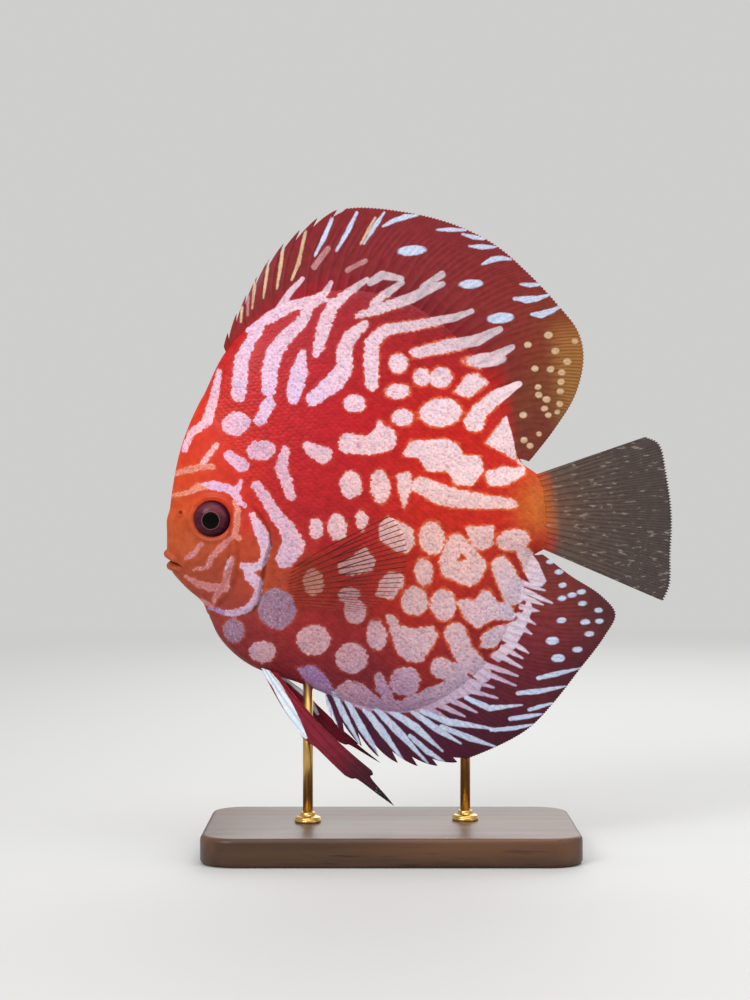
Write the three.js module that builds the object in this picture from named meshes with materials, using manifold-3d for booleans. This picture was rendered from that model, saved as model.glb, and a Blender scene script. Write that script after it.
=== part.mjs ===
// A life-size discus fish in its swimming pose, held by two rods on a plain display stand.
// Millimetres, +Z up. The fish faces -X, and its left side faces -Y.
// The fish is modelled level in its own frame, whose origin lies inside the trunk, and is then pitched.
// Every fin and the body are worked out from their side outlines and a few thicknesses.
import * as THREE from "three";
import { mergeVertices } from "three/addons/utils/BufferGeometryUtils.js";
import Module from "manifold-3d";

const wasm = await Module();
wasm.setup();

// Pose and stand
const PITCH_DEG = 5; // nose-down
const FIN_CLEARANCE = 6; // from the lowest fin tip to the stand's top
const FISH_FORWARD = -6; // of the fish's own origin from the middle of the base
const GAP = 0.3; // between pieces that touch
const FACE_SHIFT = GAP / 2;

// Body: the side outline in the fish's frame, [x, z], from the snout over the back to the tail and the belly
const BODY_OUTLINE = [
  [-67.3, -18.5], [-66.5, -11], [-65.2, -3.5], [-63.3, 5], [-60.6, 14], [-56.6, 23], [-51, 32.5],
  [-43.2, 45], [-30, 55.8], [-11, 61.7], [10, 59], [27, 48.2], [39.5, 31], [45.8, 11], [48.4, 1.5],
  [54, -4], [55, -15], [54, -26], [49, -29.2], [43.4, -44], [33.5, -60], [20, -70.5], [4, -75.2],
  [-12, -71.2], [-28, -63.2], [-43, -56.4], [-49.2, -51.2], [-53.4, -45.4], [-55.8, -38.8], [-57.6, -33.6],
  [-62.6, -28.4], [-66.4, -23.2],
];
const CENTRE = [-8, -7]; // thickest part of the flank, seen from the side
const MAX_HALF_WIDTH = 11.4;
const REAR_THINNING = 2.6; // how much thinner the lens is at the rear
const BLUNT_EDGE = 0.5; // exponent of the lens at the forehead and breast
const KEEL_EDGE = 0.15; // added to it where the long fins grow
const OUTLINE_STEPS = 76;
const RINGS = 9;
// Swellings of the flank: [x, z, reach in x, reach in z, height]
const SWELLINGS = [
  [-64, -19, 6, 6, 1.5], // jaws
  [-50, -21, 9, 9, 0.8], // cheek
  [-51.3, -7.7, 8, 8, 0.7], // orbit
  [-41, -22, 8, 13, 0.9], // gill chamber
  [-40, -49, 13, 9, 1.0], // breast
  [52, -14, 6, 9, 1.2], // tail stalk
];

// Where the head ends: from the throat up the gill opening to the nape
const HEAD_EDGE = [
  [-60, -37.2], [-55, -38.2], [-47, -40], [-40.2, -37.2], [-37.6, -30], [-35.6, -22.6], [-33.4, -16.6],
  [-35.2, -10], [-40, -3], [-43.5, 8], [-48.5, 21], [-55, 34], [-59, 41],
];
// Where the tail stalk starts
const STALK_EDGE = [[47, 22], [45.8, 2], [45, -14], [46, -29], [47, -44]];
// Gill cover: its front edge is the ridge of the cheek, and its rear edge is the gill opening
const COVER_FRONT = [
  [-41.6, -3.4], [-44.6, -9], [-45.4, -18], [-46.4, -26.5], [-50.2, -32.6], [-55.4, -36.8],
];
const COVER_REAR = [
  [-54.5, -38], [-47, -39.7], [-40.4, -37], [-37.9, -30], [-35.9, -22.6], [-33.7, -16.6], [-35.4, -10.4],
  [-40.2, -3.4],
];
const COVER_PROUD = 0.5; // of the head's own surface
const COVER_DEPTH = 1; // under it
const COVER_KEEL_GAP = 2; // of each cover from the middle plane under the throat

// Eyes and nostrils
const EYE = { x: -51.3, z: -7.7, radius: 5.9, depth: 4.2, proud: 1.5 };
const ORBIT_RIM = { away: 0.4, radius: 0.75 }; // a ring round the socket
const RING_SINK = 0.15; // how deep the middle of a ring on the head lies
const NOSTRIL = { x: -61.4, z: -5.2, ring: 0.85, wall: 0.4, pit: 0.75 };

// Lips: half of each, [x, |y|, z, radius], from the middle of the mouth to its corner
const UPPER_LIP = [[-67, 0, -17.8, 1.35], [-66.5, 1.9, -18.2, 1.3], [-65.2, 3.3, -19.4, 1.15],
  [-63.2, 4.2, -21.4, 0.8]];
const LOWER_LIP = [[-66.4, 0, -21.7, 1.4], [-65.8, 1.8, -22, 1.3], [-64.6, 3, -22.8, 1.1],
  [-63.4, 3.8, -23.6, 0.75]];
const MOUTH = { z: -19.8, open: 0.7, depth: 5.5, drop: 0.55 }; // the slit falls by drop for each mm rearwards

// Fins: how deep their roots sink in, and half their thickness on a ray and on the web between two rays
const ROOT_DEPTH = 2.6;
const MEDIAN_THICK = { crestRoot: 1.15, crestTip: 0.3, webRoot: 0.75, webTip: 0.26 };
const CAUDAL_THICK = { crestRoot: 1.3, crestTip: 0.28, webRoot: 0.9, webTip: 0.25 };
const PAIRED_THICK = { crestRoot: 0.75, crestTip: 0.28, webRoot: 0.4, webTip: 0.25 };
const WAVE = 0.7; // how far the long fins' edges swing sideways
const SPLIT = 0.0016; // of a long fin's base, on each side of the cut between spines and rays

// Fins in the middle plane: the ends of the base, and the margin through the tips of the rays, [x, z]
const DORSAL = {
  start: [-43.2, 45],
  end: [47.6, 3.2],
  margin: [
    [-43.6, 47.6], [-40.2, 54], [-37.5, 58.5], [-32, 66.8], [-26, 74], [-17, 81], [-6.5, 86.3], [3, 87.4],
    [20, 84.2], [34, 79], [46, 71.5], [55.5, 61.8], [64, 51], [70, 41.5], [71, 33], [67.4, 21.5], [60, 11.4],
    [50.6, 1.4],
  ],
  bow: 0.17, // how far the rays curve, as a share of their length
  spines: 9,
  rays: 30,
  spinyBase: 0.26, // share of the base that carries spines
  spinyMargin: 0.31, // share of the margin that their tips make
  notch: 0.74, // how far out the web reaches behind the first spine
};
const ANAL = {
  start: [-21, -67],
  end: [49.4, -28.6],
  margin: [
    [-20.4, -72], [-17.5, -79], [-11.3, -84], [-4.8, -88.8], [2.7, -91.5], [9.5, -92.8], [18, -92.6],
    [31, -89], [43, -83.6], [52, -76], [61, -66.4], [70, -56.2], [74, -49.4], [70, -43.2], [60.5, -35.8],
    [52.4, -28.4],
  ],
  bow: -0.13,
  spines: 8,
  rays: 28,
  spinyBase: 0.33,
  spinyMargin: 0.34,
  notch: 0.68,
};
const CAUDAL = {
  start: [53.2, -3.2],
  end: [53.4, -26.8],
  margin: [[88.5, 6.2], [92.6, 3.6], [94.2, -6], [94.8, -20], [93.4, -32], [92.2, -42], [89.6, -46.8]],
  bow: 0,
  rays: 14,
};

// Paired fins
const PECTORAL_ROOT = [[-30.6, -27.2], [-29, -32], [-28, -37.4]];
const PECTORAL_MARGIN = [
  [4.6, -11], [8, -16], [9.2, -22.5], [8, -29.5], [4.6, -35.4], [-1.6, -39.2], [-9, -41],
];
const PECTORAL_RAYS = 12;
const PECTORAL_SPREAD = { left: 0.36, right: 0.44 }; // sideways reach for each millimetre along the ray

const PELVIC_ROOT = [[-40.4, -56.6], [-35, -58.8]];
// Tips of the pelvic spine and soft rays, front to back; the second soft ray is the long filament
const PELVIC_TIPS = {
  left: [[-28.8, -79.8], [-16.6, -92.6], [-1.8, -103.6], [-8, -91.8], [-18.4, -82], [-27.4, -70.2]],
  right: [[-27.4, -75.4], [-17.6, -83.6], [-5, -91.4], [-12.4, -83.6], [-20, -75], [-26.6, -66.4]],
};
const PELVIC_ROOT_HALF_GAP = 2.4;
const PELVIC_SPLAY = 0.2;

// Stand
const BASE = { length: 118, width: 72, height: 9, corner: 11, bevel: 1.2 };
const ROD_RADIUS = 1.6;
const ROD_SINK = 6; // how deep the rods sit in the base
const ROD_TOP = 30; // under the fish's own origin, inside the body, before the rods are cut by it
const RODS = { front: [-26.5, 0], rear: [24, 4.3] }; // [x, y] on the base
const COLLAR = { radius: 4.2, height: 3 };

// Helpers for closed solids
function smoothstep(value, from, to) {
  const t = Math.min(1, Math.max(0, (value - from) / (to - from)));
  return t * t * (3 - 2 * t);
}

function curveThrough(points, closed = false) {
  const corners = points.map(([x, z]) => new THREE.Vector3(x, 0, z));
  const curve = new THREE.CatmullRomCurve3(corners, closed, "centripetal");
  curve.arcLengthDivisions = 600;
  return curve;
}

// A closed solid from a geometry whose vertices may repeat and whose faces may point in or out
function solidFrom(geometry) {
  const bare = geometry.clone();
  bare.deleteAttribute("normal");
  bare.deleteAttribute("uv");
  const merged = mergeVertices(bare, 1e-4);
  const triangles = [];
  for (let i = 0; i < merged.index.count; i += 3) {
    const corners = [0, 1, 2].map((k) => merged.index.getX(i + k));
    if (new Set(corners).size === 3) triangles.push(corners);
  }
  const solidOf = (faces) =>
    new wasm.Manifold(
      new wasm.Mesh({
        numProp: 3,
        vertProperties: new Float32Array(merged.attributes.position.array),
        triVerts: new Uint32Array(faces.flat()),
      }),
    );
  const solid = solidOf(triangles);
  return solid.volume() > 0 ? solid : solidOf(triangles.map(([a, b, c]) => [a, c, b]));
}

function largestBody(solid) {
  const bodies = solid.decompose();
  return bodies.reduce((best, body) => (body.volume() > best.volume() ? body : best));
}

function geometryFrom(solid) {
  const mesh = largestBody(solid).getMesh();
  const positions = new Float32Array(mesh.numVert * 3);
  for (let i = 0; i < mesh.numVert; i++) {
    positions.set(mesh.vertProperties.subarray(i * mesh.numProp, i * mesh.numProp + 3), i * 3);
  }
  const geometry = new THREE.BufferGeometry();
  geometry.setAttribute("position", new THREE.BufferAttribute(positions, 3));
  geometry.setIndex(new THREE.BufferAttribute(new Uint32Array(mesh.triVerts), 1));
  return geometry;
}

function geometryOf(vertices, triangles) {
  const geometry = new THREE.BufferGeometry();
  geometry.setAttribute("position", new THREE.Float32BufferAttribute(vertices.flat(), 3));
  geometry.setIndex(triangles.flat());
  return geometry;
}

// A prism through the whole fish over a polygon in the side view
function prism(polygon, fromY = -60, toY = 60) {
  const shape = new THREE.Shape(polygon.map(([x, z]) => new THREE.Vector2(x, z)));
  const geometry = new THREE.ExtrudeGeometry(shape, { depth: toY - fromY, bevelEnabled: false });
  geometry.rotateX(Math.PI / 2);
  geometry.translate(0, toY, 0);
  return solidFrom(geometry);
}

// A round tube of changing radius along points [x, y, z, radius], with flat ends, or closed on itself
function taperedTube(points, sides, closed = false) {
  const places = points.map(([x, y, z]) => new THREE.Vector3(x, y, z));
  const vertices = [];
  const triangles = [];
  places.forEach((place, i) => {
    const before = places[closed ? (i + places.length - 1) % places.length : Math.max(0, i - 1)];
    const after = places[closed ? (i + 1) % places.length : Math.min(places.length - 1, i + 1)];
    const along = new THREE.Vector3().subVectors(after, before).normalize();
    const guide = closed ? new THREE.Vector3(0, 1, 0) : new THREE.Vector3(0, 0, 1);
    const across = new THREE.Vector3().crossVectors(along, guide).normalize();
    const other = new THREE.Vector3().crossVectors(along, across).normalize();
    for (let k = 0; k < sides; k++) {
      const turn = (k / sides) * 2 * Math.PI;
      const point = place.clone();
      point.addScaledVector(across, points[i][3] * Math.cos(turn));
      point.addScaledVector(other, points[i][3] * Math.sin(turn));
      vertices.push(point.toArray());
    }
  });
  const loops = closed ? places.length : places.length - 1;
  for (let i = 0; i < loops; i++) {
    for (let k = 0; k < sides; k++) {
      const next = (k + 1) % sides;
      const [a, b] = [i * sides, ((i + 1) % places.length) * sides];
      triangles.push([a + k, a + next, b + next], [a + k, b + next, b + k]);
    }
  }
  if (!closed) {
    const last = (places.length - 1) * sides;
    for (let k = 1; k < sides - 1; k++) {
      triangles.push([0, k + 1, k], [last, last + k, last + k + 1]);
    }
  }
  return solidFrom(geometryOf(vertices, triangles));
}

// Body surface
const outline = curveThrough(BODY_OUTLINE, true);
const OUTLINE_TABLE = outline.getSpacedPoints(720).map((p) => ({
  angle: Math.atan2(p.z - CENTRE[1], p.x - CENTRE[0]),
  radius: Math.hypot(p.x - CENTRE[0], p.z - CENTRE[1]),
}));
OUTLINE_TABLE.sort((a, b) => a.angle - b.angle);

function outlineRadius(angle) {
  const table = OUTLINE_TABLE;
  const next = table.findIndex((entry) => entry.angle > angle);
  const b = table[next < 0 ? 0 : next];
  const a = table[next <= 0 ? table.length - 1 : next - 1];
  const span = b.angle - a.angle + (b.angle < a.angle ? 2 * Math.PI : 0);
  const reach = angle - a.angle + (angle < a.angle ? 2 * Math.PI : 0);
  return a.radius + ((b.radius - a.radius) * reach) / Math.max(span, 1e-9);
}

// Half the body's width at a place in the side view; share is 0 at the centre and 1 at the outline
function lensHalfWidth(x, z, share) {
  const lens = MAX_HALF_WIDTH - REAR_THINNING * smoothstep(x, -20, 45);
  const edge = BLUNT_EDGE + KEEL_EDGE * smoothstep(x, -50, -10);
  let half = lens * Math.pow(Math.max(0, 1 - share * share), edge);
  const fade = Math.sqrt(Math.max(0, 1 - Math.pow(share, 6)));
  for (const [cx, cz, rx, rz, height] of SWELLINGS) {
    half += height * fade * Math.exp(-(((x - cx) / rx) ** 2) - ((z - cz) / rz) ** 2);
  }
  return half;
}

function halfWidthAt(x, z) {
  const away = Math.hypot(x - CENTRE[0], z - CENTRE[1]);
  const share = away / outlineRadius(Math.atan2(z - CENTRE[1], x - CENTRE[0]));
  return lensHalfWidth(x, z, Math.min(1, share));
}

// The whole body, thicker by grow all round
function bodySolid(grow = 0) {
  const vertices = [];
  const triangles = [];
  const rimPoints = [];
  for (let i = 0; i < OUTLINE_STEPS; i++) {
    const place = outline.getPointAt(i / OUTLINE_STEPS);
    const along = outline.getTangentAt(i / OUTLINE_STEPS);
    rimPoints.push([place.x, place.z, place.x - along.z * grow, place.z + along.x * grow]);
  }
  const middle = lensHalfWidth(...CENTRE, 0) + grow;
  vertices.push([CENTRE[0], -middle, CENTRE[1]], [CENTRE[0], middle, CENTRE[1]]);
  for (let j = 1; j <= RINGS; j++) {
    const share = Math.sin((j / RINGS) * (Math.PI / 2));
    for (const [x, z, grownX, grownZ] of rimPoints) {
      const at = (from, to) => from + share * (to - from);
      const half =
        lensHalfWidth(at(CENTRE[0], x), at(CENTRE[1], z), share) + grow * Math.sqrt(1 - Math.pow(share, 20));
      const [px, pz] = [at(CENTRE[0], grownX), at(CENTRE[1], grownZ)];
      if (j === RINGS) vertices.push([px, 0, pz]);
      else vertices.push([px, -half, pz], [px, half, pz]);
    }
  }
  const index = (j, i, side) =>
    j === RINGS
      ? 2 + 2 * OUTLINE_STEPS * (RINGS - 1) + (i % OUTLINE_STEPS)
      : 2 + 2 * OUTLINE_STEPS * (j - 1) + 2 * (i % OUTLINE_STEPS) + side;
  for (const side of [0, 1]) {
    const add = (a, b, c) => triangles.push(side ? [a, b, c] : [a, c, b]);
    for (let i = 0; i < OUTLINE_STEPS; i++) {
      add(side, index(1, i, side), index(1, i + 1, side));
      for (let j = 1; j < RINGS; j++) {
        add(index(j, i, side), index(j + 1, i, side), index(j + 1, i + 1, side));
        add(index(j, i, side), index(j + 1, i + 1, side), index(j, i + 1, side));
      }
    }
  }
  return solidFrom(geometryOf(vertices, triangles));
}

const body = bodySolid();
const bodyWithGap = bodySolid(GAP);

// Places along a curve in the side view, moved sideways by shift
function shiftedPoints(curve, count, shift) {
  return Array.from({ length: count + 1 }, (_, i) => {
    const place = curve.getPointAt(i / count);
    const along = curve.getTangentAt(i / count);
    return [place.x + along.z * shift, place.z - along.x * shift];
  });
}

// Everything in front of the head's edge, whose edge is moved rearwards by shift
function headPrism(shift) {
  const edge = shiftedPoints(curveThrough(HEAD_EDGE), 26, shift);
  return prism([...edge, [-95, 41], [-95, -37.2]]);
}

function stalkPrism(shift) {
  const edge = shiftedPoints(curveThrough(STALK_EDGE), 8, shift);
  return prism([...edge, [90, -44], [90, 22]]);
}

function coverOutline(grow) {
  const front = shiftedPoints(curveThrough(COVER_FRONT), 10, grow);
  const rear = shiftedPoints(curveThrough(COVER_REAR), 18, grow > 0 ? 3 : -FACE_SHIFT);
  return [...front, ...rear];
}

// Eye: a lens-like ball with a clear bulge in the middle, its axis along Y
function eyeGeometry(side, grow) {
  const profile = [];
  const steps = 12;
  for (let i = 0; i <= steps; i++) {
    const turn = -Math.PI / 2 + (i / steps) * Math.PI;
    const radius = (EYE.radius + grow) * Math.cos(turn);
    profile.push(new THREE.Vector2(i % steps ? radius : 0, (EYE.depth + grow) * Math.sin(turn)));
  }
  const geometry = new THREE.LatheGeometry(profile, 24);
  const middle = halfWidthAt(EYE.x, EYE.z) + EYE.proud - EYE.depth;
  geometry.translate(EYE.x, side * middle, EYE.z);
  return geometry;
}

// A ring that follows the head's surface
function ringOnHead(side, x, z, radius, tube, count, sides) {
  const points = Array.from({ length: count }, (_, i) => {
    const turn = (i / count) * 2 * Math.PI;
    const [px, pz] = [x + radius * Math.cos(turn), z + radius * Math.sin(turn)];
    return [px, side * (halfWidthAt(px, pz) - RING_SINK), pz, tube];
  });
  return taperedTube(points, sides, true);
}

function headSolid() {
  let head = body.intersect(headPrism(-FACE_SHIFT)).add(lipSolid(UPPER_LIP)).add(lipSolid(LOWER_LIP));
  head = head.subtract(mouthSlit());
  for (const side of [-1, 1]) {
    const rim = EYE.radius + GAP + ORBIT_RIM.away;
    head = head.add(ringOnHead(side, EYE.x, EYE.z, rim, ORBIT_RIM.radius, 22, 6));
    head = head.subtract(solidFrom(eyeGeometry(side, GAP)));
    head = head.add(ringOnHead(side, NOSTRIL.x, NOSTRIL.z, NOSTRIL.ring, NOSTRIL.wall, 10, 5));
    const pit = new THREE.SphereGeometry(NOSTRIL.pit, 8, 6);
    pit.translate(NOSTRIL.x, side * halfWidthAt(NOSTRIL.x, NOSTRIL.z), NOSTRIL.z);
    head = head.subtract(solidFrom(pit));
  }
  const floor = bodySolid(-COVER_DEPTH - GAP);
  for (const sideways of [[-60, GAP - COVER_KEEL_GAP], [COVER_KEEL_GAP - GAP, 60]]) {
    head = head.subtract(prism(coverOutline(GAP), ...sideways).subtract(floor));
  }
  return head;
}

function coverSolid(side) {
  const sideways = side < 0 ? [-60, -COVER_KEEL_GAP] : [COVER_KEEL_GAP, 60];
  const plate = prism(coverOutline(0), ...sideways);
  return bodySolid(COVER_PROUD).intersect(plate).subtract(bodySolid(-COVER_DEPTH));
}

function lipSolid(half) {
  const left = half.slice(1).reverse().map(([x, y, z, radius]) => [x, -y, z, radius]);
  return taperedTube([...left, ...half], 8);
}

// The narrow wedge between the lips, from in front of the snout to the mouth's corner
function mouthSlit() {
  const lip = BODY_OUTLINE[0][0];
  const front = lip - MOUTH.depth;
  const corner = [lip + MOUTH.depth, MOUTH.z - MOUTH.drop * MOUTH.depth];
  const [low, high] = [MOUTH.z - MOUTH.open / 2, MOUTH.z + MOUTH.open / 2];
  return prism([[front, low], [lip, low], corner, [lip, high], [front, high]]);
}

// Fins
// A point on a ray from root to tip that bows forward of the chord; reach is 0 at the root and 1 at the tip
function rayPoint(root, tip, bow, reach) {
  const [dx, dz] = [tip[0] - root[0], tip[1] - root[1]];
  const control = [root[0] + dx / 2 - bow * dz, root[1] + dz / 2 + bow * dx];
  const [a, b, c] = [(1 - reach) ** 2, 2 * reach * (1 - reach), reach ** 2];
  return [a * root[0] + b * control[0] + c * tip[0], a * root[1] + b * control[1] + c * tip[1]];
}

// A membrane with a ridge along each ray, from columns of {root, tip, bow, crest, length}, crest on a ray.
// sideways(x, z, reach) gives the middle of its thickness; both faces are split into triangles alike.
function finSolid(columns, rows, thick, sideways) {
  const vertices = [];
  const triangles = [];
  columns.forEach(({ root, tip, bow, crest, length }) => {
    for (let j = 0; j <= rows; j++) {
      const reach = (j / rows) * length;
      const [x, z] = rayPoint(root, tip, bow, reach);
      const taper = 1 - j / rows;
      const half = crest
        ? thick.crestTip + (thick.crestRoot - thick.crestTip) * taper
        : thick.webTip + (thick.webRoot - thick.webTip) * taper;
      const middle = sideways(x, z, reach);
      vertices.push([x, middle - half, z], [x, middle + half, z]);
    }
  });
  const index = (i, j, side) => 2 * (i * (rows + 1) + j) + side;
  const quad = (a, b, c, d) => triangles.push([a, b, c], [a, c, d]);
  const last = columns.length - 1;
  for (let i = 0; i < last; i++) {
    for (let j = 0; j < rows; j++) {
      quad(index(i, j, 0), index(i + 1, j, 0), index(i + 1, j + 1, 0), index(i, j + 1, 0));
      const [a, b, c, d] = [index(i, j, 1), index(i + 1, j, 1), index(i + 1, j + 1, 1), index(i, j + 1, 1)];
      triangles.push([a, c, b], [a, d, c]);
    }
    quad(index(i, 0, 0), index(i, 0, 1), index(i + 1, 0, 1), index(i + 1, 0, 0));
    quad(index(i, rows, 0), index(i + 1, rows, 0), index(i + 1, rows, 1), index(i, rows, 1));
  }
  for (let j = 0; j < rows; j++) {
    quad(index(0, j, 0), index(0, j + 1, 0), index(0, j + 1, 1), index(0, j, 1));
    quad(index(last, j, 0), index(last, j, 1), index(last, j + 1, 1), index(last, j + 1, 0));
  }
  return solidFrom(geometryOf(vertices, triangles));
}

// The share of the outline's length that lies nearest a point
function outlineShare([x, z]) {
  const count = 2000;
  const places = outline.getSpacedPoints(count);
  const distances = places.map((p) => Math.hypot(p.x - x, p.z - z));
  return distances.indexOf(Math.min(...distances)) / count;
}

function towardsCentre([x, z], depth) {
  const away = Math.hypot(x - CENTRE[0], z - CENTRE[1]);
  return [x + ((CENTRE[0] - x) * depth) / away, z + ((CENTRE[1] - z) * depth) / away];
}

// Columns of a median fin between two shares of its base and margin; webLength tells how far out the web is
function medianColumns(fin, [baseFrom, baseTo], [marginFrom, marginTo], rays, webLength) {
  const [start, end] = [outlineShare(fin.start), outlineShare(fin.end)];
  const margin = curveThrough(fin.margin);
  return Array.from({ length: 2 * rays + 1 }, (_, i) => {
    const share = i / (2 * rays);
    const base = start + (end - start) * (baseFrom + (baseTo - baseFrom) * share);
    const place = outline.getPointAt((base + 1) % 1);
    const tip = margin.getPointAt(marginFrom + (marginTo - marginFrom) * share);
    const crest = i % 2 === 1;
    return {
      root: towardsCentre([place.x, place.z], ROOT_DEPTH),
      tip: [tip.x, tip.z],
      bow: fin.bow,
      crest,
      length: crest ? 1 : webLength(share),
    };
  });
}

function wave(x, z, reach) {
  return WAVE * reach * reach * Math.sin(x / 9 + z / 14);
}

// The spiny and the soft part of a long fin
function longFin(fin) {
  const { spinyBase, spinyMargin, notch } = fin;
  const spinyWeb = (share) => notch + (0.93 - notch) * share;
  const softWeb = (share) => 0.95 + 0.03 * share;
  const spiny = medianColumns(fin, [0, spinyBase - SPLIT], [0, spinyMargin - SPLIT], fin.spines, spinyWeb);
  const soft = medianColumns(fin, [spinyBase + SPLIT, 1], [spinyMargin + SPLIT, 1], fin.rays, softWeb);
  return [spiny, soft].map((columns) => finSolid(columns, 4, MEDIAN_THICK, wave).subtract(bodyWithGap));
}

function caudalFin() {
  const columns = medianColumns(CAUDAL, [0, 1], [0, 1], CAUDAL.rays, () => 0.97);
  return finSolid(columns, 5, CAUDAL_THICK, wave).subtract(bodyWithGap);
}

// Columns of a paired fin from its root line to the tips of its rays, with one column of web between two rays
function pairedColumns(root, tips, bow, webLength) {
  const rootCurve = curveThrough(root);
  return Array.from({ length: 2 * tips.length - 1 }, (_, i) => {
    const from = rootCurve.getPointAt(i / (2 * tips.length - 2));
    const [before, after] = [tips[Math.floor(i / 2)], tips[Math.ceil(i / 2)]];
    const crest = i % 2 === 0;
    return {
      root: [from.x, from.z],
      tip: [(before[0] + after[0]) / 2, (before[1] + after[1]) / 2],
      bow,
      crest,
      length: crest ? 1 : webLength,
    };
  });
}

function pectoralFin(side, spread) {
  const tips = curveThrough(PECTORAL_MARGIN).getSpacedPoints(PECTORAL_RAYS - 1).map((p) => [p.x, p.z]);
  const columns = pairedColumns(PECTORAL_ROOT, tips, 0.03, 0.965);
  const [rootX, rootZ] = PECTORAL_ROOT[1];
  const rootY = halfWidthAt(rootX, rootZ) - 0.9;
  const sideways = (x) => side * (rootY + spread * Math.max(0, x - rootX + 1.5));
  return finSolid(columns, 5, PAIRED_THICK, sideways).subtract(bodyWithGap);
}

function pelvicFin(side, tips) {
  const columns = pairedColumns(PELVIC_ROOT, tips, -0.05, 0.93);
  const [rootX, rootZ] = PELVIC_ROOT[0];
  const sideways = (x, z) =>
    side * (PELVIC_ROOT_HALF_GAP + PELVIC_SPLAY * Math.max(0, rootZ - z) * (1 - Math.max(0, x - rootX) / 90));
  return finSolid(columns, 6, PAIRED_THICK, sideways).subtract(bodyWithGap);
}

// Stand, in the frame of the whole model
const pitch = THREE.MathUtils.degToRad(PITCH_DEG);
const lowest = Math.min(...PELVIC_TIPS.left.map(([x, z]) => x * Math.sin(pitch) + z * Math.cos(pitch)));
const FISH_HEIGHT = BASE.height + FIN_CLEARANCE - lowest; // of the fish's own origin over the floor

const fish = new THREE.Group();
fish.position.set(FISH_FORWARD, 0, FISH_HEIGHT);
fish.rotation.y = -pitch;
fish.updateMatrix();

function baseSolid() {
  const [halfLength, halfWidth] = [BASE.length / 2 - BASE.bevel, BASE.width / 2 - BASE.bevel];
  const corner = BASE.corner - BASE.bevel;
  const shape = new THREE.Shape();
  shape.absarc(halfLength - corner, halfWidth - corner, corner, 0, Math.PI / 2);
  shape.absarc(corner - halfLength, halfWidth - corner, corner, Math.PI / 2, Math.PI);
  shape.absarc(corner - halfLength, corner - halfWidth, corner, Math.PI, 1.5 * Math.PI);
  shape.absarc(halfLength - corner, corner - halfWidth, corner, 1.5 * Math.PI, 2 * Math.PI);
  const slab = new THREE.ExtrudeGeometry(shape, {
    depth: BASE.height - 2 * BASE.bevel, bevelThickness: BASE.bevel, bevelSize: BASE.bevel, bevelSegments: 1,
    curveSegments: 5,
  });
  slab.translate(0, 0, BASE.bevel);
  let base = solidFrom(slab);
  for (const [x, y] of Object.values(RODS)) {
    const hole = new THREE.CylinderGeometry(ROD_RADIUS + GAP, ROD_RADIUS + GAP, 2 * (ROD_SINK + GAP), 16);
    hole.rotateX(Math.PI / 2);
    hole.translate(x, y, BASE.height);
    base = base.subtract(solidFrom(hole));
  }
  return base;
}

// A rod from inside the base up into the flank, in the fish's frame, cut where it meets the body
function rodSolid([x, y]) {
  const bottom = BASE.height - ROD_SINK;
  const top = FISH_HEIGHT - ROD_TOP;
  const rod = new THREE.CylinderGeometry(ROD_RADIUS, ROD_RADIUS, top - bottom, 14);
  rod.rotateX(Math.PI / 2);
  rod.translate(x, y, (top + bottom) / 2);
  rod.applyMatrix4(fish.matrix.clone().invert());
  const outside = solidFrom(rod).subtract(bodyWithGap).decompose();
  const lowestPoint = (solid) => solid.boundingBox().min[2];
  return outside.reduce((best, piece) => (lowestPoint(piece) < lowestPoint(best) ? piece : best));
}

function collarGeometry([x, y]) {
  const [inner, outer, foot] = [ROD_RADIUS + GAP, COLLAR.radius, BASE.height + GAP];
  const profile = [
    [inner, foot], [outer, foot], [outer, foot + 0.6 * COLLAR.height], [0.75 * outer, foot + COLLAR.height],
    [inner, foot + COLLAR.height], [inner, foot],
  ];
  const geometry = new THREE.LatheGeometry(profile.map(([r, h]) => new THREE.Vector2(r, h)), 20);
  geometry.rotateX(Math.PI / 2);
  geometry.translate(x, y, 0);
  return geometry;
}

// Materials
function material(color, roughness, metalness = 0) {
  return new THREE.MeshStandardMaterial({ color, roughness, metalness });
}

const skinRed = material(0xc8231c, 0.38);
const faceOrange = material(0xd8541c, 0.36);
const finMaroon = material(0x7a1c20, 0.42);
const finSmoke = material(0x4a403c, 0.4);
const finClear = material(0xa8483a, 0.35);
const eyeDark = material(0x2a0a14, 0.08);
const darkWood = material(0x2c1c14, 0.45);
const brass = material(0xb08d4a, 0.3, 1);

function addMesh(parent, name, geometry, look) {
  const mesh = new THREE.Mesh(geometry, look);
  mesh.name = name;
  parent.add(mesh);
}

const addSolid = (parent, name, solid, look) => addMesh(parent, name, geometryFrom(solid), look);

// Assembly
const discus = new THREE.Group();
discus.add(fish);

addSolid(fish, "head", headSolid(), faceOrange);
addSolid(fish, "torso", body.subtract(headPrism(FACE_SHIFT)).subtract(stalkPrism(FACE_SHIFT)), skinRed);
addSolid(fish, "tail_stalk", body.intersect(stalkPrism(-FACE_SHIFT)), faceOrange);
for (const [name, side] of [["left", -1], ["right", 1]]) {
  addSolid(fish, "gill_cover_" + name, coverSolid(side), faceOrange);
  addSolid(fish, "eye_" + name, solidFrom(eyeGeometry(side, 0)), eyeDark);
  addSolid(fish, "fin_pectoral_" + name, pectoralFin(side, PECTORAL_SPREAD[name]), finClear);
  addSolid(fish, "fin_pelvic_" + name, pelvicFin(side, PELVIC_TIPS[name]), finMaroon);
}
const [dorsalSpiny, dorsalSoft] = longFin(DORSAL);
addSolid(fish, "fin_dorsal_spiny", dorsalSpiny, finMaroon);
addSolid(fish, "fin_dorsal_soft", dorsalSoft, finMaroon);
const [analSpiny, analSoft] = longFin(ANAL);
addSolid(fish, "fin_anal_spiny", analSpiny, finMaroon);
addSolid(fish, "fin_anal_soft", analSoft, finMaroon);
addSolid(fish, "fin_caudal", caudalFin(), finSmoke);

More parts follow.
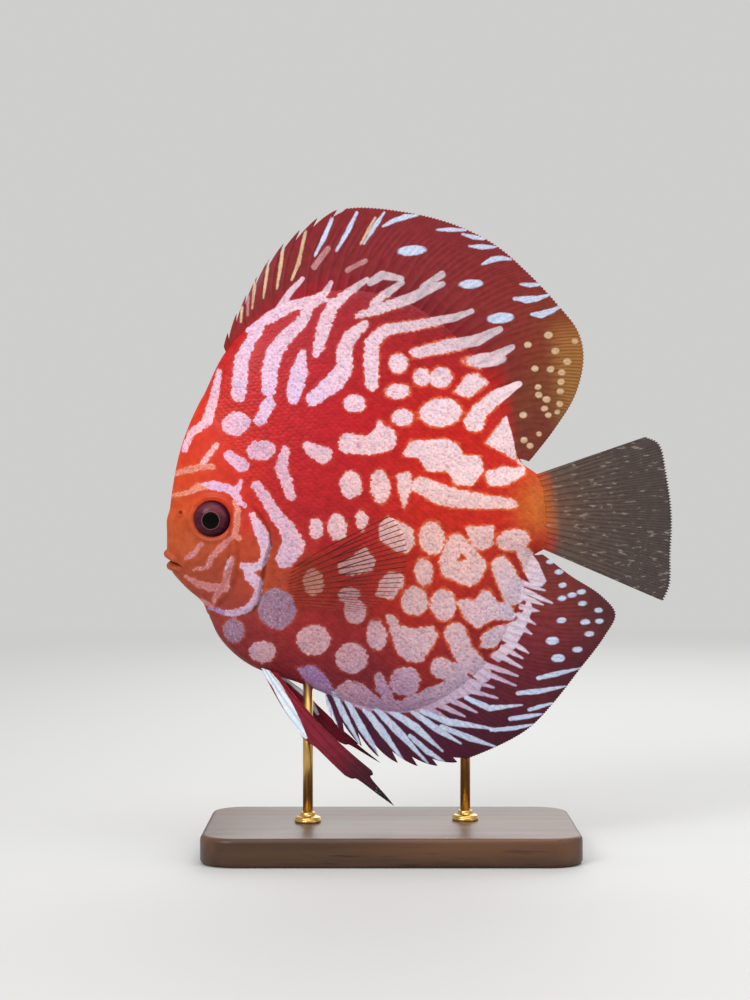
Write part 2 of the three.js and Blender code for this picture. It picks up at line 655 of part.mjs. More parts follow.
addSolid(discus, "stand_base", baseSolid(), darkWood);
for (const [name, place] of Object.entries(RODS)) {
  addSolid(fish, "stand_rod_" + name, rodSolid(place), brass);
  addMesh(discus, "stand_collar_" + name, collarGeometry(place), brass);
}

export default discus;
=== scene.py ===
"""The looks of a life-size discus fish on a display stand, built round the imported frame.

Lengths are in millimetres in the fish's own level frame, (x, z) in the side view with the snout
at -x, unless a name says metres. fish_to_world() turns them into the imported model's metres. The
fish's left side faces -Y.
"""
import math

import bpy
import numpy as np
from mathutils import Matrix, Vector


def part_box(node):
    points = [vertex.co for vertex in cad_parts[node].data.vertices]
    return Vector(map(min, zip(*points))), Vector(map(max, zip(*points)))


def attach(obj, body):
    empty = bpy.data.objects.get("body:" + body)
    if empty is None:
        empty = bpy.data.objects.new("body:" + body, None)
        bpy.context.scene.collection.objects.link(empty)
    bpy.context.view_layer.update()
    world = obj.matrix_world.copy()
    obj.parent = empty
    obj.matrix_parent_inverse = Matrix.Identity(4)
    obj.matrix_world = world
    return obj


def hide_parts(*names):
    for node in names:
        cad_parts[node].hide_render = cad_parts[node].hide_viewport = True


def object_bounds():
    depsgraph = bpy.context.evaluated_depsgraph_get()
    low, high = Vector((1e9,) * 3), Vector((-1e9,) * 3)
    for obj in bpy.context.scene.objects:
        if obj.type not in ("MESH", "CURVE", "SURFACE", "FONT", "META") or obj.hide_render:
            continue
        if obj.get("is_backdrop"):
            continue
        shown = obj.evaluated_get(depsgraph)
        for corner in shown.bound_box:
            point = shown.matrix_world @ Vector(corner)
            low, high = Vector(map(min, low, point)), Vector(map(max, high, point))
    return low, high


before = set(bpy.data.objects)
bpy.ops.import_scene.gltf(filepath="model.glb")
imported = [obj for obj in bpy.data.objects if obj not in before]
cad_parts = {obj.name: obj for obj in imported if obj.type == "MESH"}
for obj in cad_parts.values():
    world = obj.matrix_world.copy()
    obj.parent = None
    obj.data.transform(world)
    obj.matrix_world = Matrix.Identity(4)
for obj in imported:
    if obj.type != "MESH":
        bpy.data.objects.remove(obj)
cad_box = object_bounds()

SEED = 7
MM = 0.001
PITCH = math.radians(5)  # nose-down
PHOTO_SIZE = (750, 1000)
MM_PER_PIXEL = 0.32
FISH_PIXEL = (372, 480)  # where the photo shows the fish's own origin
CAMERA_DISTANCE = 0.7  # metres
SENSOR = 36
TINY = 1e-9
FAR = 1e9

# Body
BODY_OUTLINE = [
    (-67.3, -18.5), (-66.5, -11), (-65.2, -3.5), (-63.3, 5), (-60.6, 14), (-56.6, 23), (-51, 32.5),
    (-43.2, 45), (-30, 55.8), (-11, 61.7), (10, 59), (27, 48.2), (39.5, 31), (45.8, 11), (48.4, 1.5),
    (54, -4), (55, -15), (54, -26), (49, -29.2), (43.4, -44), (33.5, -60), (20, -70.5), (4, -75.2),
    (-12, -71.2), (-28, -63.2), (-43, -56.4), (-49.2, -51.2), (-53.4, -45.4), (-55.8, -38.8), (-57.6, -33.6),
    (-62.6, -28.4), (-66.4, -23.2),
]
CENTRE = (-8, -7)
MAX_HALF_WIDTH = 11.4
REAR_THINNING = 2.6
BLUNT_EDGE = 0.5
KEEL_EDGE = 0.15
SWELLINGS = [  # x, z, reach in x, reach in z, height
    (-64, -19, 6, 6, 1.5), (-50, -21, 9, 9, 0.8), (-51.3, -7.7, 8, 8, 0.7), (-41, -22, 8, 13, 0.9),
    (-40, -49, 13, 9, 1.0), (52, -14, 6, 9, 1.2),
]
HEAD_EDGE = [
    (-60, -37.2), (-55, -38.2), (-47, -40), (-40.2, -37.2), (-37.6, -30), (-35.6, -22.6), (-33.4, -16.6),
    (-35.2, -10), (-40, -3), (-43.5, 8), (-48.5, 21), (-55, 34), (-59, 41),
]
COVER_FRONT = [(-41.6, -3.4), (-44.6, -9), (-45.4, -18), (-46.4, -26.5), (-50.2, -32.6), (-55.4, -36.8)]
COVER_REAR = [
    (-55.4, -38.2), (-47, -39.7), (-40.4, -37), (-37.9, -30), (-35.9, -22.6), (-33.7, -16.6), (-35.4, -10.4),
    (-40.2, -3.4),
]
COVER_ENDS = ((-40.5, -36), (-8, -3))  # heights over which the gill cover's edge fades in and out
COVER = {"rise": 0.8, "spread": 7, "groove": 0.55, "groove_at": 0.45, "groove_reach": 0.5}
CHEEK = {"ridge": 0.22, "ridge_reach": 1.1, "groove": 0.25, "groove_at": 1.4, "groove_reach": 0.7,
         "from_x": -52}
EYE_NODE = (-51.3, -7.7)  # middle of the CAD eye
EYE = {"x": -51.5, "z": -7.95, "radius": 5.75, "depth": 4.2, "proud": 1.5}
EYE_FULLNESS = 0.8  # exponent that fills out the dome
EYE_RINGS = 56
EYE_SIDES = 96
PUPIL = (-51.85, -8.4)
# dark: the distances from the eye's middle over which the painted shade round the eyeball fades out
ORBIT = {"ring": 7.0, "ring_reach": 0.75, "rise": 0.42, "socket": (4.9, 6.05), "depth": 3.4,
         "dark": (5.5, 6.0)}
NOSTRIL = {"x": -61.4, "z": -5.2, "ring": 0.85, "ring_reach": 0.36, "rise": 0.32, "pit": 0.5, "depth": 0.75}
UPPER_LIP = [  # x, y, z, radius
    (-67, 0, -17.8, 1.35), (-66.5, 1.9, -18.2, 1.3), (-65.2, 3.3, -19.4, 1.15), (-63.2, 4.2, -21.4, 0.8),
]
LOWER_LIP = [
    (-66.4, 0, -21.7, 1.4), (-65.8, 1.8, -22, 1.3), (-64.6, 3, -22.8, 1.1), (-63.4, 3.8, -23.6, 0.75),
]
MOUTH_LINE = [(-69, -19.8), (-67.2, -19.8), (-64.6, -21.2), (-62.6, -22.6)]
MOUTH = {"rear": -58, "low": -28, "high": -12, "blend": 0.4, "depth": 1.1, "slit": 0.42, "corner": (62.2, 64)}

# Skin
HEAD_SECTOR = (166, 214)  # degrees round the centre
HEAD_STEP = 0.22
REST_STEP = 0.66
UNWRAP_SPAN = 160  # mm of the flattened skin over half the width of the map
FIN_SPAN = 220

# Scales: plates in rows over the flattened skin, each rooted under the one before it
COAT_DEPTH = 0.14  # of the scales over the skin
SCALE_PITCH = (2.1, 1.04)  # along the body and across
SCALE_STRETCH = (1.22, 0.98)
SCALE_REACH = (38, 78)  # columns and rows to each side of the centre
SCALE_RIM = [
    (-1.05, -0.34), (-1.05, 0.34), (-0.55, 0.72), (0.05, 0.86), (0.6, 0.7), (0.98, 0.38), (1.12, 0),
    (0.98, -0.38), (0.6, -0.7), (0.05, -0.86), (-0.55, -0.72),
]
SCALE_INNER = [(-0.7, -0.25), (-0.7, 0.25), (0.1, 0.46), (0.62, 0), (0.1, -0.46)]
NEAREST_INNER = [0, 1, 1, 2, 2, 3, 3, 3, 4, 4, 0]  # inner corner beside each corner of the rim
SCALES_END = 54  # x where they stop at the tail
CENTRE_WEIGHT = 0.28  # of a plate's middle in where its mark begins

# Fins: base ends on the outline, margin through the ray tips, bow of the rays, and their number.
# Thick is the half thickness of a ray at its root and tip, and of the web. Forks are the shares of
# a ray's length over which it splits.
LONG_FIN = {
    "forks": ((0.3, 0.55), (0.6, 0.85)), "ray_width": 0.2, "rows": 62, "samples": 16,
    "thick": (0.76, 0.15, 0.58, 0.105), "root_tones": (0.08, 0.3),
}
DORSAL = {
    **LONG_FIN, "start": (-43.2, 45), "end": (47.6, 3.2), "bow": 0.17, "spines": 9, "rays": 30,
    "spiny_base": 0.26, "spiny_margin": 0.31, "notch": 0.74,
    "margin": [
        (-43.6, 47.6), (-40.2, 54), (-37.5, 58.5), (-32, 66.8), (-26, 74), (-17, 81), (-6.5, 86.3), (3, 87.4),
        (20, 84.2), (34, 79), (46, 71.5), (55.5, 61.8), (64, 51), (70, 41.5), (71, 33), (67.4, 21.5),
        (60, 11.4), (50.6, 1.4),
    ],
}
ANAL = {
    **LONG_FIN, "start": (-21, -67), "end": (49.4, -28.6), "bow": -0.13, "spines": 8, "rays": 28,
    "spiny_base": 0.33, "spiny_margin": 0.34, "notch": 0.68,
    "margin": [
        (-20.4, -72), (-17.5, -79), (-11.3, -84), (-4.8, -88.8), (2.7, -91.5), (9.5, -92.8), (18, -92.6),
        (31, -89), (43, -83.6), (52, -76), (61, -66.4), (70, -56.2), (74, -49.4), (70, -43.2), (60.5, -35.8),
        (52.4, -28.4),
    ],
}
CAUDAL = {
    "start": (53.2, -3.2), "end": (53.4, -26.8), "bow": 0, "rays": 15, "samples": 24,
    "forks": ((0.2, 0.45), (0.5, 0.75)), "ray_width": 0.17, "rows": 64, "thick": (1.0, 0.15, 0.75, 0.09),
    "root_tones": (0.05, 0.17),
    "margin": [(88.5, 6.2), (92.6, 3.6), (94.2, -6), (94.8, -20), (93.4, -32), (92.2, -42), (89.6, -46.8)],
}
PECTORAL = {
    "base": [(-30.6, -27.2), (-29, -32), (-28, -37.4)], "rays": 13, "samples": 16, "bow": 0.03,
    "forks": ((0.35, 0.7),), "ray_width": 0.12, "rows": 54, "thick": (0.6, 0.14, 0.24, 0.07),
    "margin": [(4.6, -11), (8, -16), (9.2, -22.5), (8, -29.5), (4.6, -35.4), (-1.6, -39.2), (-9, -41)],
}
PECTORAL_SINK = 0.9  # of the root under the flank's surface
PECTORAL_SPREAD = {"left": 0.36, "right": 0.44}
PELVIC = {
    "base": [(-40.4, -56.6), (-35, -58.8)], "samples": 18, "bow": -0.05, "forks": ((0.45, 0.8),),
    "ray_width": 0.17, "rows": 66, "thick": (0.62, 0.16, 0.26, 0.09),
}
PELVIC_TIPS = {
    "left": [(-28.8, -79.8), (-16.6, -92.6), (-1.8, -103.6), (-8, -91.8), (-18.4, -82), (-27.4, -70.2)],
    "right": [(-27.4, -75.4), (-17.6, -83.6), (-5, -91.4), (-12.4, -83.6), (-20, -75), (-26.6, -66.4)],
}
PELVIC_ROOT_HALF_GAP = 2.4
PELVIC_SPLAY = 0.2
BRANCH_WIDTH = 0.13
WAVE = 0.7
ROOT_DEPTH = 2.6

# Stand
BASE_CORNER = 11
BASE_FILLET = 1.6
ROD_RADIUS = 1.6
ROD_SINK = 4
ROD_SIDES = 56
# Radius and height over the base
COLLAR_FOOT = [(ROD_RADIUS + 0.05, -0.1), (4.1, -0.1), (4.2, 0.15), (4.2, 1.1)]
COLLAR_BEAD = {"radius": 3.1, "reach": 1.1, "height": 1.1, "rise": 0.8}
COLLAR_NECK = [(2.6, 2.1), (2.35, 2.9), (2.2, 3.2), (1.9, 3.25), (ROD_RADIUS, 3.2)]

# Marks by colour. A list of (x, z, width) is a stroke, one of (x, z) is a patch's outline, and
# (x, z, half length, half height) is an oval spot. Skin, scales and long fins share them.
MARKS = {
    "pale": [
        # Head
        [(-54.6, 2.9, 1.2), (-50, 2.5, 2.6), (-46, 1.4, 2.2), (-43.4, -0.6, 2.2), (-42.4, -3.4, 2),
         (-40.8, -4.6, 0.8)],
        [(-42.6, 0.6, 1.8), (-41.3, 3.2, 0.8)],
        [(-46.6, -21, 0.8), (-48, -24, 1.3), (-49.2, -28.5, 1.1)],
        [(-38.5, -8, 1.6), (-37, -12, 3), (-35.8, -15, 3.6), (-35.2, -18, 3), (-35.8, -21, 2.2),
         (-37, -23.5, 1.8)],
        [(-43, -23.5, 1.8), (-40.5, -24.2, 2.4), (-38, -24, 2.2)],
        [(-42.3, -24.5, 1.4), (-41, -27, 3), (-39, -29, 3.4)],
        [(-38.7, -28, 2), (-38.9, -32, 2), (-40.6, -35.3, 2), (-43, -37.3, 2), (-47, -38.3, 1.8),
         (-50, -38, 1.3)],
        [(-45.6, 38.8, 1.4), (-48, 30, 2.6), (-50.6, 23, 2.8), (-56, 20, 2), (-58.7, 15, 1.6)],
        [(-36.8, 1.6, 2.4), (-34.4, -2, 3.2), (-30.8, -9, 3.6), (-27.2, -14.6, 5), (-26.6, -18.6, 7),
         (-29.4, -22.4, 5.6)],
        # Upper half of the flank
        [(-35, 51, 1.6), (-28, 54.5, 3.6), (-21, 57.5, 3.4), (-14, 58.8, 2.6), (-10, 60.5, 2),
         (-7.5, 64, 1)],
        [(-25, 57, 2), (-21, 62, 1.6), (-16.5, 66, 1)],
        [(-31.5, 51.5, 2.4), (-35, 47, 3.4), (-38, 42, 4), (-39, 36, 4.6), (-40, 30.5, 4.4)],
        [(-12, 58.5, 2), (-15, 57, 2.6), (-18, 52, 3.4), (-24, 47, 4.4), (-27.5, 43, 4.8),
         (-29.5, 37, 4.6), (-30, 31, 4)],
        [(4, 64, 1.2), (-3, 60, 2.4), (-8, 56, 3.6), (-11, 50, 4), (-13, 44, 3.4), (-14.5, 41, 1.6)],
        [(-12, 58.6, 0.9), (-6, 58, 0.9)],
        [(-18.5, 42, 2), (-20, 36, 5), (-22, 30.5, 5), (-22.8, 27.5, 3)],
        [(2, 49.5, 2.2), (-3, 46, 4), (-5.5, 41, 4.6), (-5.5, 36, 4.8), (-9, 32, 6), (-16.5, 27, 4)],
        [(36.5, 51, 1.2), (31, 49.5, 2), (18, 48, 2.8), (8, 47, 3.4), (3.5, 43, 4), (3, 38, 4.4),
         (2.5, 30, 3.6)],
        [(5, 63, 2), (9, 65, 2.4), (15, 63.3, 1.4)],
        [(15, 62, 1.4), (8, 58, 2.4), (5, 55.5, 1.6)],
        [(0, 52.5, 1.6), (5, 53.5, 2.6), (12, 55.5, 3), (18, 57, 3), (24, 59.5, 2.6), (27, 60, 1.4)],
        [(21.5, 60, 1.6), (28, 63.5, 2)],
        [(17, 39, 2.6), (28, 40.5, 4), (37, 41.5, 3)],
        (39.5, 35, 6, 2.1), (11.5, 36, 2.8, 3), (18.5, 31, 2.6, 2.6), (24.5, 30.5, 3.5, 3),
        (10.5, 27.2, 3.5, 2.2), (11.3, 18.8, 3.2, 2.5), (23.5, 19.4, 6.4, 4.3),
        [(28.5, 25.5), (33, 30.3), (36, 30.8), (39.4, 27.8), (33, 23.4)],
        [(34, 15.5, 6), (36, 19, 4.6), (42, 23, 4.4), (49.5, 26.5, 1.6)],
        [(37, 8.5), (44.5, 16.5), (45.8, 10), (46.5, 3), (48.6, 0.5), (43, 5)],
        [(-44.5, 11.5, 3), (-40.5, 8, 3.8)],
        (-34.2, 12.3, 4.2, 3), (-41.5, 21.5, 4.2, 3.6),
        [(-33.8, 21.8, 3.4), (-30.5, 27, 3.8)],
        [(-26.5, 11.5, 2.6), (-28.3, 6, 3.6), (-27, 2, 3.6), (-26, -3, 2.4)],
        [(-19.5, 12.5, 2.6), (-18, 11, 4), (-14.5, 9, 5)],
        [(-6.5, 12, 6), (0, 10.5, 5.4), (4.5, 12.5, 8)],
        [(4.3, 14, 4), (4, 17.6, 1.4)],
        (-3.5, 24.5, 3.2, 2.6),
        [(10.5, 7), (13, 11), (24, 10.6), (28.3, 8.6), (29, 5), (34.5, 4.4), (35.4, 0), (31.5, -4.4),
         (26, -3.4), (24.4, 0.6), (17.6, 1.4), (15.6, 5.6)],
        [(36, -1), (37, -5), (43, -5.4), (45, -4), (48.6, -2.5), (49, 0), (45, -0.4), (42, 0.6)],
        # Lower half of the flank
        (-6.8, -1, 3.3, 4), (2.3, -2.4, 2.9, 5),
        [(8, 0.6), (11.6, 1.4), (12.4, -2), (10.8, -6), (9.4, -10), (8.2, -5)],
        [(15, -3, 5), (20, -6, 6), (25, -8, 5.6), (35, -10, 4), (44, -11.5, 2.4)],
        (-19, -13.7, 2.1, 3.2), (-12.2, -14, 2.8, 4), (-4.5, -12.5, 1.7, 2.8), (17.2, -20, 3.8, 5),
        [(28.4, -17.6), (37, -18), (36.4, -23.6), (33, -25.4), (29.8, -23)],
        (43, -23, 5, 3.3),
        [(25, -22, 5), (21.5, -27.5, 4.6), (21.8, -30.5, 5), (28, -32, 8)],
        [(25, -22, 4.6), (29, -25.5, 3.4), (31, -30, 5)],
        (13.7, -30.5, 2.6, 4), (10, -39.4, 4, 4.4), (19, -41.5, 3.8, 4.7),
        [(38.5, -31, 6), (42, -40, 7)],
        [(23.5, -41), (27, -40.5), (29.5, -41.5), (31.5, -38.5), (34, -38.3), (36, -42.5), (40, -43.5),
         (42, -47), (41, -48.4), (34, -47.5), (29, -49.8), (25.6, -46)],
        [(0.6, -43), (3, -43.5), (5, -47), (9, -48.5), (15, -48), (16.4, -51), (14, -54.5), (10.5, -59),
         (6, -58), (3.2, -55), (2, -49)],
        [(22, -51, 6.6), (24, -57, 6), (27, -61, 6), (30, -65, 5)],
        [(16.6, -61.5, 6.4), (22, -64.4, 5.6)],
        [(30, -56), (30.6, -52.4), (34, -50.6), (38, -50), (42, -49), (45, -45.6), (46.4, -42),
         (47.4, -45.6), (44.4, -51.6), (40.6, -57.4), (35.4, -61.4), (33, -59.6), (35.8, -57.4),
         (38.6, -55.6), (36.6, -54), (34.6, -56.6)],
        (-11.5, -55.8, 4.9, 4.7), (-23, -49, 5.2, 4.7), (-3, -49, 2.9, 4.6), (-9, -41, 3.4, 3.7),
        (-39.5, -51.5, 4, 3.4),
        [(-17.4, -65.6), (-13.6, -62.8), (-8.4, -64.6), (-4.6, -69), (-3, -71.6), (-7.6, -74),
         (-13, -70.8), (-17, -68.4)],
        [(-3.4, -62.6, 2.4), (-2.8, -66, 3.6), (-0.8, -70, 3)],
        (4.8, -64.8, 4.6, 4.4),
        [(-6, -71, 3), (0, -73.4, 3), (8, -72, 5.4), (15, -69.6, 5), (22, -67.4, 3.6)],
        [(-13, -25.5), (-8, -23.5), (-4, -21), (-1.5, -25.5), (-2.5, -28.5), (-8, -29.5),
         (-12.5, -28.5)],
        [(1, -15), (4, -12), (7, -14), (11, -16.5), (11.5, -21), (9, -24), (4.5, -22.5), (1, -19)],
        [(-2, -36.5), (-0.5, -32.5), (3, -29.5), (7, -31), (6.5, -34), (3, -38)],
        (-10.5, -35.6, 3.2, 2.4),
        # Foot of the anal fin
        [(44, -26), (48, -26.6), (50.5, -31), (51.5, -34), (52.5, -37), (51, -38.5), (48, -38),
         (46, -33)],
        [(8, -73, 4.6), (15, -71.4, 5), (22, -69.4, 4.4), (27, -68.5, 3.6)],
        # Dorsal fin
        [(24, 59.5, 2.6), (28, 60.5, 1.4)],
        [(37, 41.5, 3.4), (45, 44.5, 1.6)],
        [(42, 35.5, 3.4), (48.5, 38.5, 1.4)],
    ],
    "peach": [
        [(-62.5, 7.5, 1.3), (-55, 8.7, 1.8), (-50, 8.5, 1.4)],
        [(-64, 0.6, 0.7), (-58, 1.2, 1.3), (-55, 2.6, 2), (-52, 2.6, 1.6)],
        [(-43.5, -3, 1.4), (-43, -6, 1.4), (-43.5, -10, 1.5), (-44.5, -13, 1.6), (-43.5, -14.8, 1.4)],
    ],
    "rose": [
        [(-53, 10, 1.4), (-48, 15.5, 1.2)],
    ],
    "pink": [
        [(-45, -14, 1.2), (-47.5, -15.5, 1.6), (-50, -17.8, 1.6), (-52.6, -20, 1.4), (-54.4, -23, 0.9),
         (-58.6, -23.4, 0.5)],
        [(-55.5, -15.5, 0.8), (-58.5, -18.5, 1.5), (-61, -19.6, 0.6)],
        [(-46, -21, 1.2), (-48, -25, 2), (-49.2, -29.5, 2)],
        [(-49, -29.8, 2.4), (-54, -29.6, 2.4), (-58, -28, 1.8), (-61.5, -25.6, 0.8)],
        [(-50.5, -29.8, 2), (-53.5, -34, 1)],
        [(-54, -36, 0.8), (-57.4, -33.6, 1)],
    ],
    "purple": [
        # Head
        [(-50, -38, 1.3), (-55, -36, 0.8)],
        # Lower half of the flank
        [(-29, -57.8), (-24, -57), (-21, -60), (-17.5, -66.3), (-21, -67), (-25.5, -64)],
    ],
    "grey": [
        (-33.5, -38, 5.8, 6.3), (-48, -44, 3.3, 3.7),
    ],
    "yellowish": [
        (-21.3, -30.5, 3, 4),
    ],
    "faint": [
        [(-12.5, 69.5, 1.5), (-7.5, 75, 1.3)],
        [(-2, 67.5, 1.2), (4, 70, 1.2)],
        [(-35, 56, 0.4), (-34.4, 62, 0.5)],
    ],
    "blue": [
        (19, 72, 4, 1.4), (37, 59.7, 3.2, 1.2), (45.5, 48, 3.8, 1.5),
        [(50.5, 53.8, 0.6), (54, 53.2, 1.9), (58, 53.2, 1.3), (61.5, 54, 0.3)],
        [(55.5, 48.3, 0.6), (58.5, 48, 1.9), (62, 48.8, 1.3), (65, 50, 0.3)],
        [(10.5, 80.5, 0.2), (14, 82, 1.1), (18, 83, 1.3), (22, 83.2, 0.2)],
        [(27.5, 78, 0.2), (32, 77.6, 1), (37, 77, 0.2)],
        [(35.5, 75.9, 0.2), (39, 74.6, 1.1), (42.5, 73.6, 0.2)],
        [(37.5, 71.8, 0.2), (41.5, 71.2, 1.3), (46, 70.8, 0.3)],
        [(41, 65.6, 0.2), (44.5, 66.9, 1.5), (47.5, 67.1, 1.2), (50.5, 66.4, 0.2)],
        [(52.6, 58.3, 0.2), (56, 57.6, 1.1), (59.4, 57.6, 0.3)],
        [(4, 75.5, 0.2), (8.5, 81.4, 1.1), (11.4, 85, 0.3)],
        [(-12, 73, 0.3), (-8.6, 78.4, 1.1), (-5.4, 84.4, 0.6)],
        [(-5, 74, 0.3), (-1, 79.6, 1.1), (2.6, 85.6, 0.5)],
    ],
    "cream": [
        [(-37.4, 54, 0.2), (-36.6, 58.6, 0.5)],
        [(-33.4, 58, 0.2), (-31.8, 66.4, 0.6)],
        [(-29.6, 61, 0.2), (-28.4, 66, 0.6), (-27, 72.4, 0.4)],
        [(-25, 63.5, 0.2), (-23.6, 69, 0.7), (-21.8, 76.6, 0.5)],
        [(-20, 66, 0.3), (-17.4, 71, 0.8), (-14.2, 81, 0.5)],
        [(3, 75.5, 0.2), (5.6, 79.4, 0.7), (8.4, 83.6, 0.3)],
    ],
}
DORSAL_SPOTS = [  # x, z, diameter
    (60.3, 41.2, 2.2), (53.5, 38.7, 1.9), (62, 36, 2), (55, 31, 1.9), (60, 30.3, 1.9), (65.5, 32.3, 2),
    (63.5, 29, 1.9), (55.5, 25, 1.6), (55.5, 22.5, 1.7), (63, 26, 1.9), (62.5, 23, 1.7), (57.8, 20.8, 2),
    (57, 18, 1.7), (62, 19, 1.7), (58, 15.8, 1.5), (61, 16.5, 1.4), (50, 16.5, 1.9), (54.5, 10, 1.4),
    (49.5, 8.5, 1.8), (51.3, 6.5, 1.7), (68.5, 38.5, 1.6),
]
ANAL_STREAKS = [  # from the edge of the flank to the margin, with the greatest width
    ((-22.5, -64.5), (-20.4, -70), (-17.8, -78.5), 1.6), ((-18.4, -66), (-15.5, -74), (-11.3, -83.5), 2.2),
    ((-14.4, -69), (-10, -79), (-4.5, -89.3), 2.6), ((-9.8, -71), (-4, -80), (2.5, -91), 2.8),
    ((-5, -73), (1, -80.5), (10, -92), 2.9), ((5, -82.6), (10, -88), (15.5, -92.3), 1.9),
    ((-0.6, -74), (7, -80), (15, -88.5), 3), ((6.6, -75), (14, -81.4), (21, -86.5), 2.4),
    ((15.4, -80.6), (24, -85), (32, -88.5), 2.2), ((9, -74.6), (18, -79.3), (33, -83), 2.8),
    ((31, -83), (38, -83), (44.5, -82.4), 1.4), ((37.4, -80), (42, -79.7), (47.5, -79.3), 1.7),
    ((43.6, -77.6), (47, -77), (51.4, -76.2), 1.3), ((24, -72), (31, -76), (41.6, -75.9), 2.2),
    ((40.6, -72), (47, -72), (56, -71.2), 1.8), ((47.4, -67.8), (53, -67), (61.5, -65.8), 1.7),
]
ANAL_FRINGE = [  # root x, root z, tip x, tip z of the pale feathers that leave the body's rear lower edge
    (24, -66, 33, -69.5), (27, -62.6, 40, -69.5), (31, -62, 41, -66.5), (35, -59, 42.5, -64),
    (37, -57, 43, -61), (39, -54.6, 45, -59.5), (42, -50, 46.5, -53.5), (43, -47, 48, -50.5),
    (44, -44.6, 49.5, -46.5), (44, -41, 51, -44.5), (45.6, -39.6, 54, -44.3), (20, -68, 34, -73),
    (17, -71, 27, -77), (15, -73.4, 23, -78), (11, -74, 18, -78.6), (45, -37, 52, -40),
]
ANAL_SPOTS = [
    (57, -34.5, 1.6), (54.5, -31, 1.5), (57.7, -38.8, 1.5), (60.5, -42.2, 1.8), (57.2, -43, 1.8),
    (63.5, -41.5, 1.6), (63.7, -45.2, 1.7), (68.5, -47.8, 1.6), (56.5, -50, 1.9), (64, -51.2, 1.9),
    (68.5, -51.3, 1.5), (53, -56.3, 3), (65, -55.1, 1.9), (54.3, -62, 3), (60.7, -59.8, 2),
]
PELVIC_MARKS = {
    "left": {
        "white": [[(-39.6, -57, 1.6), (-36.2, -62, 2.3), (-33, -69, 2.8), (-30, -76, 2.3),
                   (-28, -79.6, 0.5)]],
        "dark": [[(-6.5, -98, 2.2), (-1.4, -104, 3)], [(-8.6, -90, 1), (-6, -91, 2)]],
    },
    "right": {"white": [[(-37, -57.6, 1.4), (-30.6, -63, 1.8), (-26.8, -67.4, 1.6), (-24, -73.6, 0.5)]]},
}
for root, middle, tip, width in ANAL_STREAKS:
    MARKS["blue"].append([(*root, 0.5 * width), (*middle, 0.72 * width), (*tip, 0.1)])
MARKS["cream"] += [(x, z, 0.5 * diameter, 0.42 * diameter) for x, z, diameter in DORSAL_SPOTS]
MARKS["blue"] += [(x, z, 0.6 * diameter, 0.36 * diameter) for x, z, diameter in ANAL_SPOTS]
for x0, z0, x1, z1 in ANAL_FRINGE:
    middle = (0.45 * x0 + 0.55 * x1, 0.45 * z0 + 0.55 * z1)
    MARKS["pale"].append([(x0, z0, 1.4), (*middle, 1.1), (x1, z1, 0.1)])
MARK_MARGIN = 7  # how far from a mark the distance to it is worked out
FAR_FROM_MARKS = -6.0

# Colours, as the eye reads them in the picture (sRGB); pale marks take theirs from PALE_TONES
MARK_COLOURS = {
    "peach": (216, 128, 104), "rose": (236, 168, 166), "pink": (194, 118, 114), "purple": (156, 118, 162),
    "grey": (152, 114, 134), "blue": (190, 202, 224), "white": (216, 226, 234), "faint": (176, 116, 118),
    "cream": (204, 172, 136), "yellowish": (206, 156, 136), "dark": (30, 12, 16),
}
# Broad tones: x, z, reach, colour
TONE_SPREAD = 1.3
PALE_TONES = [
    (-52, 30, 8, (235, 175, 185)), (-48, 2, 8, (220, 170, 200)), (-40, -18, 8, (210, 175, 195)),
    (-46, -37, 6, (190, 160, 185)), (-36, 44, 12, (220, 185, 205)), (-14, 51, 11, (215, 180, 190)),
    (22, 56, 16, (190, 170, 175)), (-22, 28, 10, (220, 190, 220)), (10, 32, 14, (235, 200, 210)),
    (31, 8, 13, (240, 210, 210)), (-30, 4, 11, (215, 165, 180)), (-6, 2, 13, (230, 190, 190)),
    (20, -22, 16, (230, 185, 175)), (-16, -50, 12, (200, 155, 160)), (18, -48, 12, (215, 180, 185)),
    (44, -46, 10, (205, 190, 205)), (-2, -70, 10, (170, 135, 165)), (28, -70, 8, (185, 165, 190)),
]
SKIN_TONES = [
    (-58, 22, 12, (215, 55, 25)), (-61, 4, 9, (200, 70, 25)), (-62, -10, 9, (180, 80, 35)),
    (-56, -24, 9, (160, 70, 45)), (-50, -34, 7, (145, 55, 45)), (-42, -22, 6, (180, 65, 35)),
    (-42, -9, 3, (195, 35, 25)), (-47, 8, 9, (200, 40, 25)), (-36, 36, 13, (190, 25, 30)),
    (-15, 50, 13, (160, 25, 40)), (20, 52, 16, (120, 25, 35)), (10, 38, 10, (180, 30, 30)),
    (-12, 16, 18, (185, 25, 35)), (25, 20, 12, (195, 30, 25)), (-14, -10, 13, (170, 30, 35)),
    (24, -8, 16, (200, 40, 25)), (52, -13, 5, (200, 110, 40)), (-32, -28, 8, (170, 75, 45)),
    (20, -34, 16, (185, 45, 30)), (-20, -42, 11, (160, 40, 40)), (-44, -48, 9, (130, 40, 45)),
    (-16, -62, 13, (115, 35, 45)), (30, -56, 13, (125, 30, 40)), (44, -34, 7, (150, 40, 30)),
]
DORSAL_TONES = [
    (-40, 50, 9, (140, 34, 32)), (-24, 64, 12, (122, 32, 36)), (0, 72, 14, (130, 34, 40)),
    (24, 66, 14, (128, 36, 40)), (46, 54, 11, (130, 40, 38)), (46, 36, 8, (122, 36, 34)),
    (62, 42, 9, (126, 58, 34)), (62, 24, 9, (116, 66, 36)), (54, 12, 7, (112, 48, 36)),
]
ANAL_TONES = [
    (-14, -76, 9, (72, 18, 44)), (6, -84, 11, (72, 20, 46)), (26, -78, 10, (78, 22, 42)),
    (40, -68, 10, (104, 32, 44)), (54, -52, 9, (122, 42, 46)), (56, -38, 7, (118, 50, 44)),
    (70, -48, 7, (78, 42, 42)), (60, -68, 8, (62, 24, 36)), (40, -84, 8, (52, 18, 36)),
]
